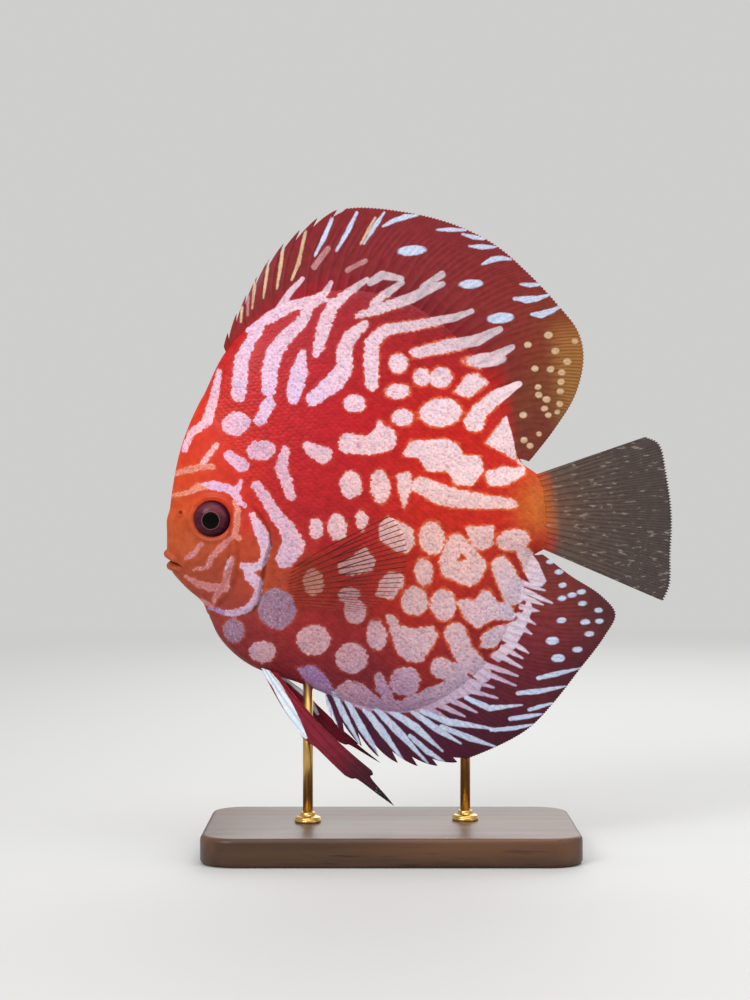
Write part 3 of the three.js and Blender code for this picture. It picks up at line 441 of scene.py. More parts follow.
CAUDAL_TONES = [(56, -14, 6, (118, 76, 54)), (70, -14, 12, (92, 76, 66)), (90, -16, 14, (76, 68, 65))]
PELVIC_TONES = [(-36, -62, 8, (150, 30, 44)), (-24, -78, 10, (124, 26, 46)), (-8, -96, 8, (58, 16, 30))]
PECTORAL_TONES = [(-26, -30, 8, (200, 90, 50)), (-10, -26, 12, (180, 60, 50)), (6, -22, 8, (160, 70, 64))]


# Curves in the side view
def smoothstep(value, low, high):
    t = np.clip((value - low) / (high - low), 0, 1)
    return t * t * (3 - 2 * t)


def bell(value, reach):
    return np.exp(-(value / reach) ** 2)


def curve_points(points, closed=False, per_span=60):
    """A centripetal Catmull-Rom curve, sampled finely, with the share of its length at each point."""
    p = np.array(points, float)
    n = len(p)
    if closed:
        ring = np.vstack([p[-1], p, p[0], p[1]])
    else:
        ring = np.vstack([2 * p[0] - p[1], p, 2 * p[-1] - p[-2]])
    out = []
    for i in range(n if closed else n - 1):
        a, b, c, d = ring[i:i + 4]
        da, db, dc = (max(np.sum((v - u) ** 2) ** 0.25, 1e-4) for u, v in ((a, b), (b, c), (c, d)))
        t1 = db * ((b - a) / da - (c - a) / (da + db) + (c - b) / db)
        t2 = db * ((c - b) / db - (d - b) / (db + dc) + (d - c) / dc)
        t = (np.arange(per_span) / per_span)[:, None]
        out.append(b + t1 * t + (-3 * b + 3 * c - 2 * t1 - t2) * t ** 2 + (2 * b - 2 * c + t1 + t2) * t ** 3)
    out = np.vstack(out + [ring[1:2] if closed else p[-1:]])
    length = np.concatenate([[0], np.cumsum(np.linalg.norm(np.diff(out, axis=0), axis=1))])
    return out, length / length[-1]


def along(curve, shares):
    points, lengths = curve
    return np.stack([np.interp(shares, lengths, column) for column in points.T], axis=-1)


OUTLINE = curve_points(BODY_OUTLINE, closed=True)


def outline_share(point):
    points, lengths = OUTLINE
    return lengths[np.argmin(np.hypot(*(points - point).T))]


# Distances in the side view
def segment_gap(x, z, a, b):
    """Distance to the segment from a to b, and the share of its length where it is nearest."""
    ex, ez = b[0] - a[0], b[1] - a[1]
    t = np.clip(((x - a[0]) * ex + (z - a[1]) * ez) / max(ex * ex + ez * ez, TINY), 0, 1)
    return np.hypot(x - a[0] - t * ex, z - a[1] - t * ez), t


def line_gap(x, z, points):
    """Distance to an open line of (x, z)."""
    return np.min([segment_gap(x, z, a, b)[0] for a, b in zip(points[:-1], points[1:])], axis=0)


def stroke_depth(x, z, points):
    """How deep inside a stroke of (x, z, width) a place lies, negative outside."""
    best = np.full(x.shape, -FAR)
    for a, b in zip(points[:-1], points[1:]):
        away, t = segment_gap(x, z, a, b)
        best = np.maximum(best, (a[2] + (b[2] - a[2]) * t) / 2 - away)
    return best


def patch_depth(x, z, corners):
    """How deep inside a polygon a place lies, negative outside."""
    inside = np.zeros(x.shape, bool)
    gap = np.full(x.shape, FAR)
    for a, b in zip(corners, np.roll(corners, -1, axis=0)):
        gap = np.minimum(gap, segment_gap(x, z, a, b)[0])
        rise = b[1] - a[1]
        crossing = a[0] + (z - a[1]) * (b[0] - a[0]) / (TINY if abs(rise) < TINY else rise)
        inside ^= ((a[1] > z) != (b[1] > z)) & (x < crossing)
    return np.where(inside, gap, -gap)


def mark_depth(x, z, mark):
    if mark.ndim == 1:
        cx, cz, rx, rz = mark
        return (1 - np.hypot((x - cx) / rx, (z - cz) / rz)) * min(rx, rz)
    return stroke_depth(x, z, mark) if mark.shape[1] == 3 else patch_depth(x, z, mark)


def linear(colour):
    c = np.array(colour, float) / 255
    return np.where(c <= 0.04045, c / 12.92, ((c + 0.055) / 1.055) ** 2.4)


def blended(x, z, tones):
    """The tones' colour at each place, each tone fading with distance."""
    total = np.zeros(x.shape)
    colour_at = np.zeros((*x.shape, 3))
    for cx, cz, reach, colour in tones:
        weight = bell(np.hypot(x - cx, z - cz), TONE_SPREAD * reach) + TINY
        total += weight
        colour_at += weight[..., None] * linear(colour)
    return colour_at / total[..., None]


def paint(x, z, tones, marks=None):
    """The ground colour, the nearest mark's colour and the signed distance to its edge at each place."""
    pale = blended(x, z, PALE_TONES)
    colour_at = pale.copy()
    edge = np.full(x.shape, FAR_FROM_MARKS)
    for colour, group in (MARKS if marks is None else marks).items():
        for mark in (np.array(mark, float) for mark in group):
            corners = np.stack([mark[:2] - mark[2:], mark[:2] + mark[2:]]) if mark.ndim == 1 else mark
            low, high = corners[:, :2].min(0) - MARK_MARGIN, corners[:, :2].max(0) + MARK_MARGIN
            near = np.nonzero((x > low[0]) & (x < high[0]) & (z > low[1]) & (z < high[1]))
            found = mark_depth(x[near], z[near], mark)
            better = found > edge[near]
            chosen = tuple(index[better] for index in near)
            edge[chosen] = found[better]
            colour_at[chosen] = pale[chosen] if colour == "pale" else linear(MARK_COLOURS[colour])
    return blended(x, z, tones), colour_at, edge


# Body surface
RIM = OUTLINE[0] - CENTRE
RIM_ANGLE = np.arctan2(RIM[:, 1], RIM[:, 0])
RIM_RADIUS = np.hypot(RIM[:, 0], RIM[:, 1])
HEAD_FRONT = np.vstack([curve_points(HEAD_EDGE)[0], [(-95, 41), (-95, -37.2)]])
COVER_SIDE = np.vstack([curve_points(COVER_REAR)[0], [(-80, -3.4), (-80, -38.2)]])


def outline_radius(angle):
    return np.interp(angle, RIM_ANGLE, RIM_RADIUS, period=2 * math.pi)


def outline_place(turn, share):
    """x and z of the places at shares of the outline's radius, in directions from the centre."""
    radius = outline_radius(turn) * share
    return CENTRE[0] + radius * np.cos(turn), CENTRE[1] + radius * np.sin(turn)


def share_of_outline(x, z):
    x, z = x - CENTRE[0], z - CENTRE[1]
    return np.hypot(x, z) / outline_radius(np.arctan2(z, x))


def half_width(x, z, share=None):
    """Half the body's width at places in the side view; share is 0 at the centre and 1 at the outline."""
    if share is None:
        share = np.minimum(share_of_outline(x, z), 1)
    lens = MAX_HALF_WIDTH - REAR_THINNING * smoothstep(x, -20, 45)
    edge = BLUNT_EDGE + KEEL_EDGE * smoothstep(x, -50, -10)
    half = lens * np.maximum(1 - share ** 2, 0) ** edge
    fade = np.sqrt(np.maximum(1 - share ** 6, 0))
    for cx, cz, rx, rz, height in SWELLINGS:
        half = half + height * fade * np.exp(-((x - cx) / rx) ** 2 - ((z - cz) / rz) ** 2)
    return half


def behind_head(x, z):
    """Distance behind the edge of the head, in the side view."""
    return -patch_depth(x, z, HEAD_FRONT)


def skin_relief(x, z):
    """How far the skin's details stand out of the plain body, and the painted shade that darkens the eye's
    socket, the nostril's pit and the grooves.
    """
    relief = -COAT_DEPTH * smoothstep(behind_head(x, z), 0.2, 2.2)
    painted_shade = np.ones(x.shape)
    # Orbit, with painted shade round the eyeball
    away = np.hypot(x - EYE["x"], z - EYE["z"])
    relief += ORBIT["rise"] * bell(away - ORBIT["ring"], ORBIT["ring_reach"])
    relief -= ORBIT["depth"] * (1 - smoothstep(away, *ORBIT["socket"]))
    painted_shade *= 1 - 0.4 * (1 - smoothstep(away, *ORBIT["dark"]))
    # Nostril, with painted shade in its pit
    away = np.hypot(x - NOSTRIL["x"], z - NOSTRIL["z"])
    pit = bell(away, NOSTRIL["pit"])
    relief += NOSTRIL["rise"] * bell(away - NOSTRIL["ring"], NOSTRIL["ring_reach"]) - NOSTRIL["depth"] * pit
    painted_shade *= 1 - 0.6 * pit
    # Gill cover: it rises to a free rear edge over the gill opening, with painted shade in the groove under
    # that edge
    ends = smoothstep(z, *COVER_ENDS[0]) * (1 - smoothstep(z, *COVER_ENDS[1]))
    inside = patch_depth(x, z, COVER_SIDE)
    front_edge = line_gap(x, z, COVER_FRONT)
    raised = smoothstep(front_edge, 0.5, 9) * (inside > -0.01) * smoothstep(inside, 0, 0.5)
    relief += ends * COVER["rise"] * raised * bell(np.maximum(inside - 1, 0), COVER["spread"])
    relief -= ends * COVER["groove"] * bell(inside + COVER["groove_at"], COVER["groove_reach"])
    painted_shade *= 1 - 0.45 * ends * bell(inside + 0.35, 0.4)
    # Cheek ridge in front of it, with painted shade in the groove beside it
    groove = bell(front_edge - CHEEK["groove_at"], CHEEK["groove_reach"])
    relief += ends * CHEEK["ridge"] * bell(front_edge, CHEEK["ridge_reach"])
    relief -= ends * CHEEK["groove"] * groove * (x > CHEEK["from_x"])
    painted_shade *= 1 - 0.16 * ends * groove
    return relief, painted_shade


def lip_spheres(lip):
    """Centres and radii along a lip from the right corner of the mouth to the left."""
    half = np.array(lip, float)
    chain = np.vstack([half[:0:-1] * (1, -1, 1, 1), half])
    points, lengths = curve_points(chain[:, :3])
    ends = smoothstep(np.minimum(lengths, 1 - lengths), -0.12, 0.2)
    return points, np.interp(lengths, np.linspace(0, 1, len(chain)), chain[:, 3]) * ends


def push_to_lips(points, normals):
    """Moves the points near a lip out to its surface, rounded where it meets the face, and cuts the mouth."""
    x, z = points[:, 0], points[:, 2]
    near = np.nonzero((x < MOUTH["rear"]) & (z < MOUTH["high"]) & (z > MOUTH["low"]))[0]
    p, n = points[near], normals[near]
    reach = np.zeros(len(near))
    for lip in (UPPER_LIP, LOWER_LIP):
        centres, radii = lip_spheres(lip)
        best = np.full(len(near), -3.0)
        for centre, radius in zip(centres[::3], radii[::3]):
            height = np.sum((centre - p) * n, axis=1)
            off = np.sum((centre - p) ** 2, axis=1) - height ** 2
            top = height + np.sqrt(np.maximum(radius ** 2 - off, 0))
            best = np.where(off < radius ** 2, np.maximum(best, top), best)
        reach = np.maximum(reach, (best + np.sqrt(best ** 2 + MOUTH["blend"] ** 2)) / 2)
    groove = bell(line_gap(p[:, 0], p[:, 2], MOUTH_LINE), MOUTH["slit"])
    groove = groove * smoothstep(-p[:, 0], *MOUTH["corner"])
    points[near] = p + n * (reach - MOUTH["depth"] * groove)[:, None]
    return near, groove


# Meshes: arrays in the fish's frame, which fish_to_world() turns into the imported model's metres
def rotated(x, z):
    return x * math.cos(PITCH) - z * math.sin(PITCH), x * math.sin(PITCH) + z * math.cos(PITCH)


eye_low, eye_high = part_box("eye_left")
eye_middle = (eye_low + eye_high) / 2
eye_shift = rotated(*EYE_NODE)
FISH_X = eye_middle.x - eye_shift[0] * MM
FISH_Z = eye_middle.z - eye_shift[1] * MM


def fish_to_world(points):
    x, z = rotated(points[:, 0], points[:, 2])
    return np.stack([FISH_X + x * MM, points[:, 1] * MM, FISH_Z + z * MM], axis=1)


def new_piece(name, vertices, faces, look, nodes=(), in_fish=True):
    """A piece of the model from arrays of vertices and faces, standing for the CAD nodes named."""
    mesh = bpy.data.meshes.new(name)
    mesh.from_pydata(fish_to_world(vertices) if in_fish else vertices * MM, [], faces)
    mesh.polygons.foreach_set("use_smooth", np.ones(len(faces), bool))
    mesh.update()
    mesh.materials.append(look.material)
    piece = bpy.data.objects.new(name, mesh)
    bpy.context.scene.collection.objects.link(piece)
    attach(piece, "root")
    if nodes:
        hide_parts(*nodes)
    return piece


def add_values(piece, name, values, kind="FLOAT", field="value"):
    layer = piece.data.attributes.new(name, kind, "POINT")
    layer.data.foreach_set(field, np.asarray(values, np.float32).ravel())


def add_paint(piece, ground, mark, edge):
    for name, colours in (("ground", ground), ("mark", mark)):
        add_values(piece, name, np.column_stack([colours, np.ones(len(colours))]), "FLOAT_COLOR", "color")
    add_values(piece, "edge", edge)


def add_unwrap(piece, coordinates):
    """The map OFBake, from one place for each corner of the faces or for each vertex."""
    if len(coordinates) != len(piece.data.loops):
        corners = np.empty(len(piece.data.loops), np.int32)
        piece.data.loops.foreach_get("vertex_index", corners)
        coordinates = coordinates[corners]
    layer = piece.data.uv_layers.new(name="OFBake")
    layer.data.foreach_set("uv", np.asarray(coordinates, np.float32).ravel())


def ring_faces(rings, sides):
    """Triangles of a closed form numbered ring by ring, with the middles of its two ends as last vertices."""
    i = np.arange(sides)
    after = (i + 1) % sides
    first, top = rings * sides, (rings - 1) * sides
    faces = [np.stack([np.full(sides, first), after, i], axis=1),
             np.stack([np.full(sides, first + 1), top + i, top + after], axis=1)]
    for a in range(0, top, sides):
        b = a + sides
        faces.append(np.stack([a + i, a + after, b + after], axis=1))
        faces.append(np.stack([a + i, b + after, b + i], axis=1))
    return np.vstack(faces)


# Looks
class Look:
    """A material, with short names for the nodes it is made of."""

    def __init__(self, name, **settings):
        self.material = bpy.data.materials.new(name)
        self.material.use_nodes = True
        self.tree = self.material.node_tree
        self.shader = self.tree.nodes["Principled BSDF"]
        for key, value in settings.items():
            self.set(key.replace("_", " "), value)

    def put(self, socket, value):
        if isinstance(value, bpy.types.NodeSocket):
            self.tree.links.new(value, socket)
        else:
            socket.default_value = value

    def set(self, name, value):
        self.put(self.shader.inputs[name], value)

    def node(self, kind, inputs=(), **settings):
        made = self.tree.nodes.new("ShaderNode" + kind)
        for key, value in settings.items():
            setattr(made, key, value)
        for key, value in dict(inputs).items():
            self.put(made.inputs[key], value)
        return made

    def number(self, name):
        return self.node("Attribute", attribute_name=name).outputs["Fac"]

    def colour(self, name):
        return self.node("Attribute", attribute_name=name).outputs["Color"]

    def math(self, operation, *values):
        return self.node("Math", enumerate(values), operation=operation).outputs[0]

    def plus(self, *values):
        return self.math("ADD", *values)

    def times(self, *values):
        return self.math("MULTIPLY", *values)

    def smooth(self, value, low, high, to_low=0.0, to_high=1.0):
        inputs = {0: value, 1: low, 2: high, 3: to_low, 4: to_high}
        return self.node("MapRange", inputs, interpolation_type="SMOOTHSTEP").outputs[0]

    def mix(self, factor, a, b, blend="MIX"):
        inputs = {"Factor": factor, 6: a, 7: b}
        return self.node("Mix", inputs, data_type="RGBA", blend_type=blend).outputs[2]

    def tint(self, colour, *by):
        """The colour times three numbers, or times one number for all three."""
        if len(by) == 3:
            factor = (*by, 1)
        else:
            factor = self.node("CombineColor", {channel: by[0] for channel in range(3)}).outputs[0]
        return self.mix(1.0, colour, factor, "MULTIPLY")

    def place(self, stretch=(1, 1, 1)):
        """Object coordinates in metres, stretched."""
        source = self.node("TexCoord").outputs["Object"]
        return self.node("Mapping", {"Vector": source, "Scale": stretch}).outputs[0]

    def noise(self, scale, detail=3, stretch=(1, 1, 1), roughness=0.55):
        inputs = {"Vector": self.place(stretch), "Scale": scale, "Detail": detail, "Roughness": roughness}
        return self.node("TexNoise", inputs).outputs["Fac"]

    def bump(self, height, strength, distance):
        made = self.node("Bump", {"Strength": strength, "Distance": distance, "Height": height})
        self.set("Normal", made.outputs[0])


def rgb(*colour):
    return (*linear(colour), 1)


def painted_look(name, softness, jag, jag_scale, roughness, coat, flecks, glow=None, extra=None):
    """Ground and marks with a ragged edge; extra(look, colour) may change the colour, and returns it."""
    look = Look(name, Coat_Weight=coat, Coat_Roughness=0.2, Specular_IOR_Level=0.14)
    wobble = look.times(look.math("SUBTRACT", look.noise(jag_scale, 3), 0.5), jag)
    edge = look.plus(look.plus(look.number("edge"), 0.2), wobble)
    ground = look.colour("ground")
    mottle = look.smooth(look.noise(420, 4), 0.32, 0.72)
    ground = look.mix(mottle, look.tint(ground, 0.80, 0.72, 0.74), ground)
    if glow:
        halo = look.times(look.smooth(edge, -0.95, 0.1), look.number(glow))
        ground = look.mix(halo, ground, rgb(224, 110, 58))
    mark = look.colour("mark")
    wrinkles = look.noise(1100, 5, (1, 1, 1.3), 0.65)
    crinkle = look.smooth(wrinkles, 0.35, 0.52, 1 - flecks)
    mark = look.mix(crinkle, look.tint(mark, 0.72, 0.54, 0.60), mark)
    cool = look.smooth(look.noise(420, 3), 0.42, 0.66)
    mark = look.mix(look.times(cool, 0.8), mark, look.tint(mark, 0.82, 0.92, 1))
    # Painted glints: sparse near-white specks standing for light caught on the marks
    painted_glint = look.smooth(look.noise(1700, 2), 0.56, 0.68)
    mark = look.mix(look.times(painted_glint, 0.22), mark, rgb(236, 232, 246))
    in_mark = look.smooth(edge, -softness, softness)
    colour = look.mix(in_mark, ground, mark)
    look.set("Base Color", extra(look, colour) if extra else colour)
    look.set("Roughness", look.smooth(look.noise(90, 3), 0.2, 0.8, roughness - 0.06, roughness + 0.06))
    relief = look.times(look.times(wrinkles, in_mark), 1.4)
    look.bump(look.plus(relief, look.times(look.noise(2400, 2), 0.6)), 0.3, 0.0003)
    return look


# The skin darkened by its painted shade in the eye's socket, the nostril's pit and the grooves
def skin_colour(look, colour):
    return look.tint(colour, look.number("painted_shade"))


def scale_colour(look, colour):
    """Each scale a little lighter or darker at random, with painted shade over its root, where it lies under
    the scale before it, so that its free edge is paler.
    """
    tinted = look.tint(colour, look.smooth(look.number("tone"), 0, 1, 0.92, 1.06))
    # Painted shade over the root, fading out towards the free edge
    free_edge = look.smooth(look.number("rim"), 0.45, 0.95)
    return look.mix(free_edge, look.tint(tinted, 0.93, 0.88, 0.90), tinted)


def fin_colour(dark_rays):
    """Rays a little darker than the web, and straw-coloured at the rear of the dorsal fin."""
    def change(look, colour):
        ray = look.number("ray")
        colour = look.mix(look.times(ray, dark_rays), colour, look.tint(colour, 0.42, 0.32, 0.32))
        streak = look.times(look.times(ray, look.number("olive")), 0.5)
        return look.mix(streak, colour, rgb(182, 138, 66))
    return change


def caudal_colour(look, colour):
    colour = look.mix(look.times(look.number("ray"), 0.42), colour, rgb(46, 38, 36))
    dashes = look.smooth(look.noise(1100, 2, (0.3, 1, 1)), 0.6, 0.7)
    return look.mix(look.times(dashes, 0.4), colour, rgb(170, 156, 142))


def pectoral_colour(look, colour):
    ray = look.mix(look.smooth(look.number("reach"), 0.1, 0.6), rgb(112, 26, 16), rgb(48, 16, 12))
    return look.mix(look.smooth(look.number("ray"), 0.3, 0.75), colour, ray)


# Softness and jag of the marks' edges, scale of the jag, roughness, coat, strength of the flecks
skin_look = painted_look("discus_skin", 0.22, 1.7, 700, 0.46, 0.06, 1.0, "glow", skin_colour)
scale_look = painted_look("discus_scales", 0.22, 1.6, 700, 0.44, 0.05, 1.0, "glow", scale_colour)
fin_look = painted_look("discus_long_fins", 0.25, 0.6, 500, 0.5, 0.06, 0.6, extra=fin_colour(0.2))
pelvic_look = painted_look("discus_pelvic_fins", 0.18, 0.4, 700, 0.42, 0.1, 0.2, extra=fin_colour(0.4))
caudal_look = painted_look("discus_tail_fin", 0.18, 0.3, 700, 0.5, 0.05, 0.5, extra=caudal_colour)
pectoral_look = painted_look("discus_pectoral_fins", 0.18, 0.3, 700, 0.45, 0.05, 0.5, extra=pectoral_colour)

caudal_look.set("Alpha", caudal_look.plus(0.86, caudal_look.times(caudal_look.number("ray"), 0.14)))
ray_strength = pectoral_look.smooth(pectoral_look.number("phase"), 2, 12, 0.95, 0.6)
ray_alpha = pectoral_look.times(ray_strength, pectoral_look.smooth(pectoral_look.number("ray"), 0.3, 0.75))
pectoral_look.set("Alpha", pectoral_look.math("MAXIMUM", 0.09, ray_alpha))


# Skin
def polar_faces(count, rings, offset, flip):
    """Triangles of a fan and rings round a middle vertex, numbered ring by ring from offset + 1."""
    i = np.arange(count)
    after = (i + 1) % count
    faces = [np.stack([np.full(count, offset), offset + 1 + i, offset + 1 + after], axis=1)]
    for j in range(rings - 1):
        a, b = offset + 1 + j * count, offset + 1 + (j + 1) * count
        faces.append(np.stack([a + i, b + i, b + after], axis=1))
        faces.append(np.stack([a + i, b + after, a + after], axis=1))
    faces = np.vstack(faces)
    return faces[:, ::-1] if flip else faces


def meridian_lengths(turns, shares):
    """Length over the flank from the centre out to each share, for each direction."""
    fine = np.linspace(0, 1, 401) ** 0.5
    x, z = outline_place(turns[:, None], fine)
    y = half_width(x, z, np.broadcast_to(fine, x.shape))
    step = np.sqrt(np.diff(x) ** 2 + np.diff(y) ** 2 + np.diff(z) ** 2)
    lengths = np.concatenate([np.zeros((len(turns), 1)), np.cumsum(step, axis=1)], axis=1)
    return fine, lengths, np.stack([np.interp(shares, fine, row) for row in lengths])


def unwrap_place(away, turn, side):
    """Where a place on the flattened skin lies in the map OFBake."""
    u = 0.25 + 0.5 * away * np.cos(turn) / UNWRAP_SPAN
    v = 0.5 + 0.5 * away * np.sin(turn) / UNWRAP_SPAN
    return np.stack([u + (0.5 if side > 0 else 0), v], axis=-1)


def marked_place(x, z, side):
    """Where a place finds its marks: on the far flank, inside its edge, in slightly moved ones."""
    if side < 0:
        return x, z
    blend = smoothstep(behind_head(x, z), 2, 14) * (1 - smoothstep(share_of_outline(x, z), 0.8, 0.97))
    moved_x = 1.6 * np.sin(z / 11 + 1) + 0.8 * np.sin(x / 7 + 2)
    return x + blend * moved_x, z + blend * 1.8 * np.sin(x / 12 + 0.5)


def glow_at(x, z):
    """Orange round the pale marks, strongest at the rear of the flank."""
    return 0.65 * smoothstep(x, -12, 26) * (1 - smoothstep(abs(z + 6), 44, 66)) + 0.15


def vertex_normals(points, faces):
    """Unit normals at the vertices, from the faces round each."""
    a, b, c = (points[faces[:, k]] for k in range(3))
    across = np.cross(b - a, c - a)
    normals = np.zeros_like(points)
    for k in range(3):
        np.add.at(normals, faces[:, k], across)
    return normals / np.maximum(np.linalg.norm(normals, axis=1), 1e-12)[:, None]


def make_skin():
    """Both flanks as rings round their middles, closest together at the head and at the edge."""
    head_start, head_end = HEAD_SECTOR
    turns = np.deg2rad(np.concatenate([np.arange(head_start, head_end, HEAD_STEP),
                                       np.arange(head_end, head_start + 360, REST_STEP)]))
    shares = np.sin(np.deg2rad(np.concatenate([np.linspace(0, 40, 52)[1:], np.linspace(40, 90, 118)[1:]])))
    shares[-1] = 1
    rings, count = len(shares), len(turns)
    a_side = 1 + rings * count
    grid_share = shares[:, None] * np.ones(count)
    x, z = outline_place(turns[None, :], grid_share)
    y = half_width(x, z, grid_share)
    lengths = meridian_lengths(turns, shares)[2].T
    middle_y = float(half_width(*(np.array(value) for value in (*CENTRE, 0.0))))
    points, faces, flat_map = [], [], []
    for index, side in enumerate((-1, 1)):
        points.append([(CENTRE[0], side * middle_y, CENTRE[1])])
        points.append(np.stack([x, side * y, z], axis=-1).reshape(-1, 3))
        faces.append(polar_faces(count, rings, index * a_side, flip=side < 0))
        flat_map.append(unwrap_place(0.0, 0.0, side)[None])
        flat_map.append(unwrap_place(lengths, turns[None, :], side).reshape(-1, 2))
    points, faces, flat_map = np.vstack(points), np.vstack(faces), np.vstack(flat_map)
    flat_x, flat_z = points[:, 0].copy(), points[:, 2].copy()

    normals = vertex_normals(points, faces)
    rim_left = 1 + (rings - 1) * count + np.arange(count)
    rim_right = rim_left + a_side
    shared = normals[rim_left] + normals[rim_right]
    shared /= np.linalg.norm(shared, axis=1)[:, None]
    normals[rim_left] = shared
    normals[rim_right] = shared
    if normals[0, 1] > 0:
        normals = -normals
        faces = faces[:, ::-1]
    relief, painted_shade = skin_relief(flat_x, flat_z)
    near_lips, groove = push_to_lips(points, normals)
    points += normals * relief[:, None]
    # Painted shade in the mouth's slit
    painted_shade[near_lips] *= 1 - 0.7 * groove

    # The two sides share the left one's rim
    kept = np.setdiff1d(np.arange(len(points)), rim_right)
    new_number = np.zeros(len(points), int)
    new_number[kept] = np.arange(len(kept))
    new_number[rim_right] = new_number[rim_left]
    skin = new_piece("skin", points[kept], new_number[faces], skin_look,
                     ["head", "torso", "tail_stalk", "gill_cover_left", "gill_cover_right"])
    painted = []
    for index, side in enumerate((-1, 1)):
        own = slice(index * a_side, (index + 1) * a_side)
        painted.append(paint(*marked_place(flat_x[own], flat_z[own], side), SKIN_TONES))
    add_paint(skin, *(np.concatenate(halves)[kept] for halves in zip(*painted)))
    # The painted shade of the socket, pit, grooves and mouth slit, as a multiplier of the skin's colour
    add_values(skin, "painted_shade", painted_shade[kept])
    add_values(skin, "glow", glow_at(flat_x, flat_z)[kept])
    add_unwrap(skin, flat_map[faces.ravel()])


make_skin()


# Scales
def scale_template():
    """Vertices (along, across, height) and triangles of one plate; its top and underside come last."""
    rim = [(a, b, -0.06 + 0.13 * float(smoothstep(a, -1.05, 1.0)) - 0.03 * abs(b)) for a, b in SCALE_RIM]
    inner = [(a, b, -0.01 + 0.12 * float(smoothstep(a, -1.05, 1.0))) for a, b in SCALE_INNER]
    points = rim + inner + [(0, 0, 0.08), (0.1, 0, -0.16)]
    top, under = len(points) - 2, len(points) - 1
    count = len(rim)
    faces = []
    for i in range(count):
        after = (i + 1) % count
        a, b = count + NEAREST_INNER[i], count + NEAREST_INNER[after]
        faces.append((i, after, a))
        if a != b:
            faces.append((after, b, a))
        faces.append((after, i, under))
    for k in range(len(inner)):
        faces.append((count + k, count + (k + 1) % len(inner), top))
    return np.array(points), np.array(faces)


TABLE_TURNS = 720
TABLE_STEPS = 300
ROUND = np.linspace(-math.pi, math.pi, TABLE_TURNS + 1)
TABLE_SHARES, TABLE_LENGTHS, _ = meridian_lengths(ROUND, [1.0])
EVEN_STEPS = np.linspace(0, 1, TABLE_STEPS + 1)
NORMALISED = np.stack([np.interp(EVEN_STEPS, row / row[-1], TABLE_SHARES) for row in TABLE_LENGTHS])


def share_at(u, w):
    """Direction, share of the outline's radius and share of the way there, on the flattened skin."""
    turn = np.arctan2(w, u)
    t = (turn + math.pi) / (2 * math.pi) * TABLE_TURNS
    i = np.clip(t.astype(int), 0, TABLE_TURNS - 1)
    f = t - i
    outward = np.hypot(u, w) / (TABLE_LENGTHS[i, -1] * (1 - f) + TABLE_LENGTHS[i + 1, -1] * f)
    s = np.clip(outward, 0, 1) * TABLE_STEPS
    j = np.clip(s.astype(int), 0, TABLE_STEPS - 1)
    g = s - j
    low = NORMALISED[i, j] * (1 - g) + NORMALISED[i, j + 1] * g
    high = NORMALISED[i + 1, j] * (1 - g) + NORMALISED[i + 1, j + 1] * g
    return turn, low * (1 - f) + high * f, outward


def on_flank(u, w, side):
    """Place and outward normal on the body for places on the flattened skin."""
    def place(u, w):
        turn, share, _ = share_at(u, w)
        x, z = outline_place(turn, share)
        return np.stack([x, side * half_width(x, z, share), z], axis=-1)
    step = 0.05
    here = place(u, w)
    normal = np.cross(place(u + step, w) - here, place(u, w + step) - here)
    normal /= np.maximum(np.linalg.norm(normal, axis=-1), 1e-12)[..., None]
    return here, normal * np.where(normal[..., 1:2] * side < 0, -1, 1)


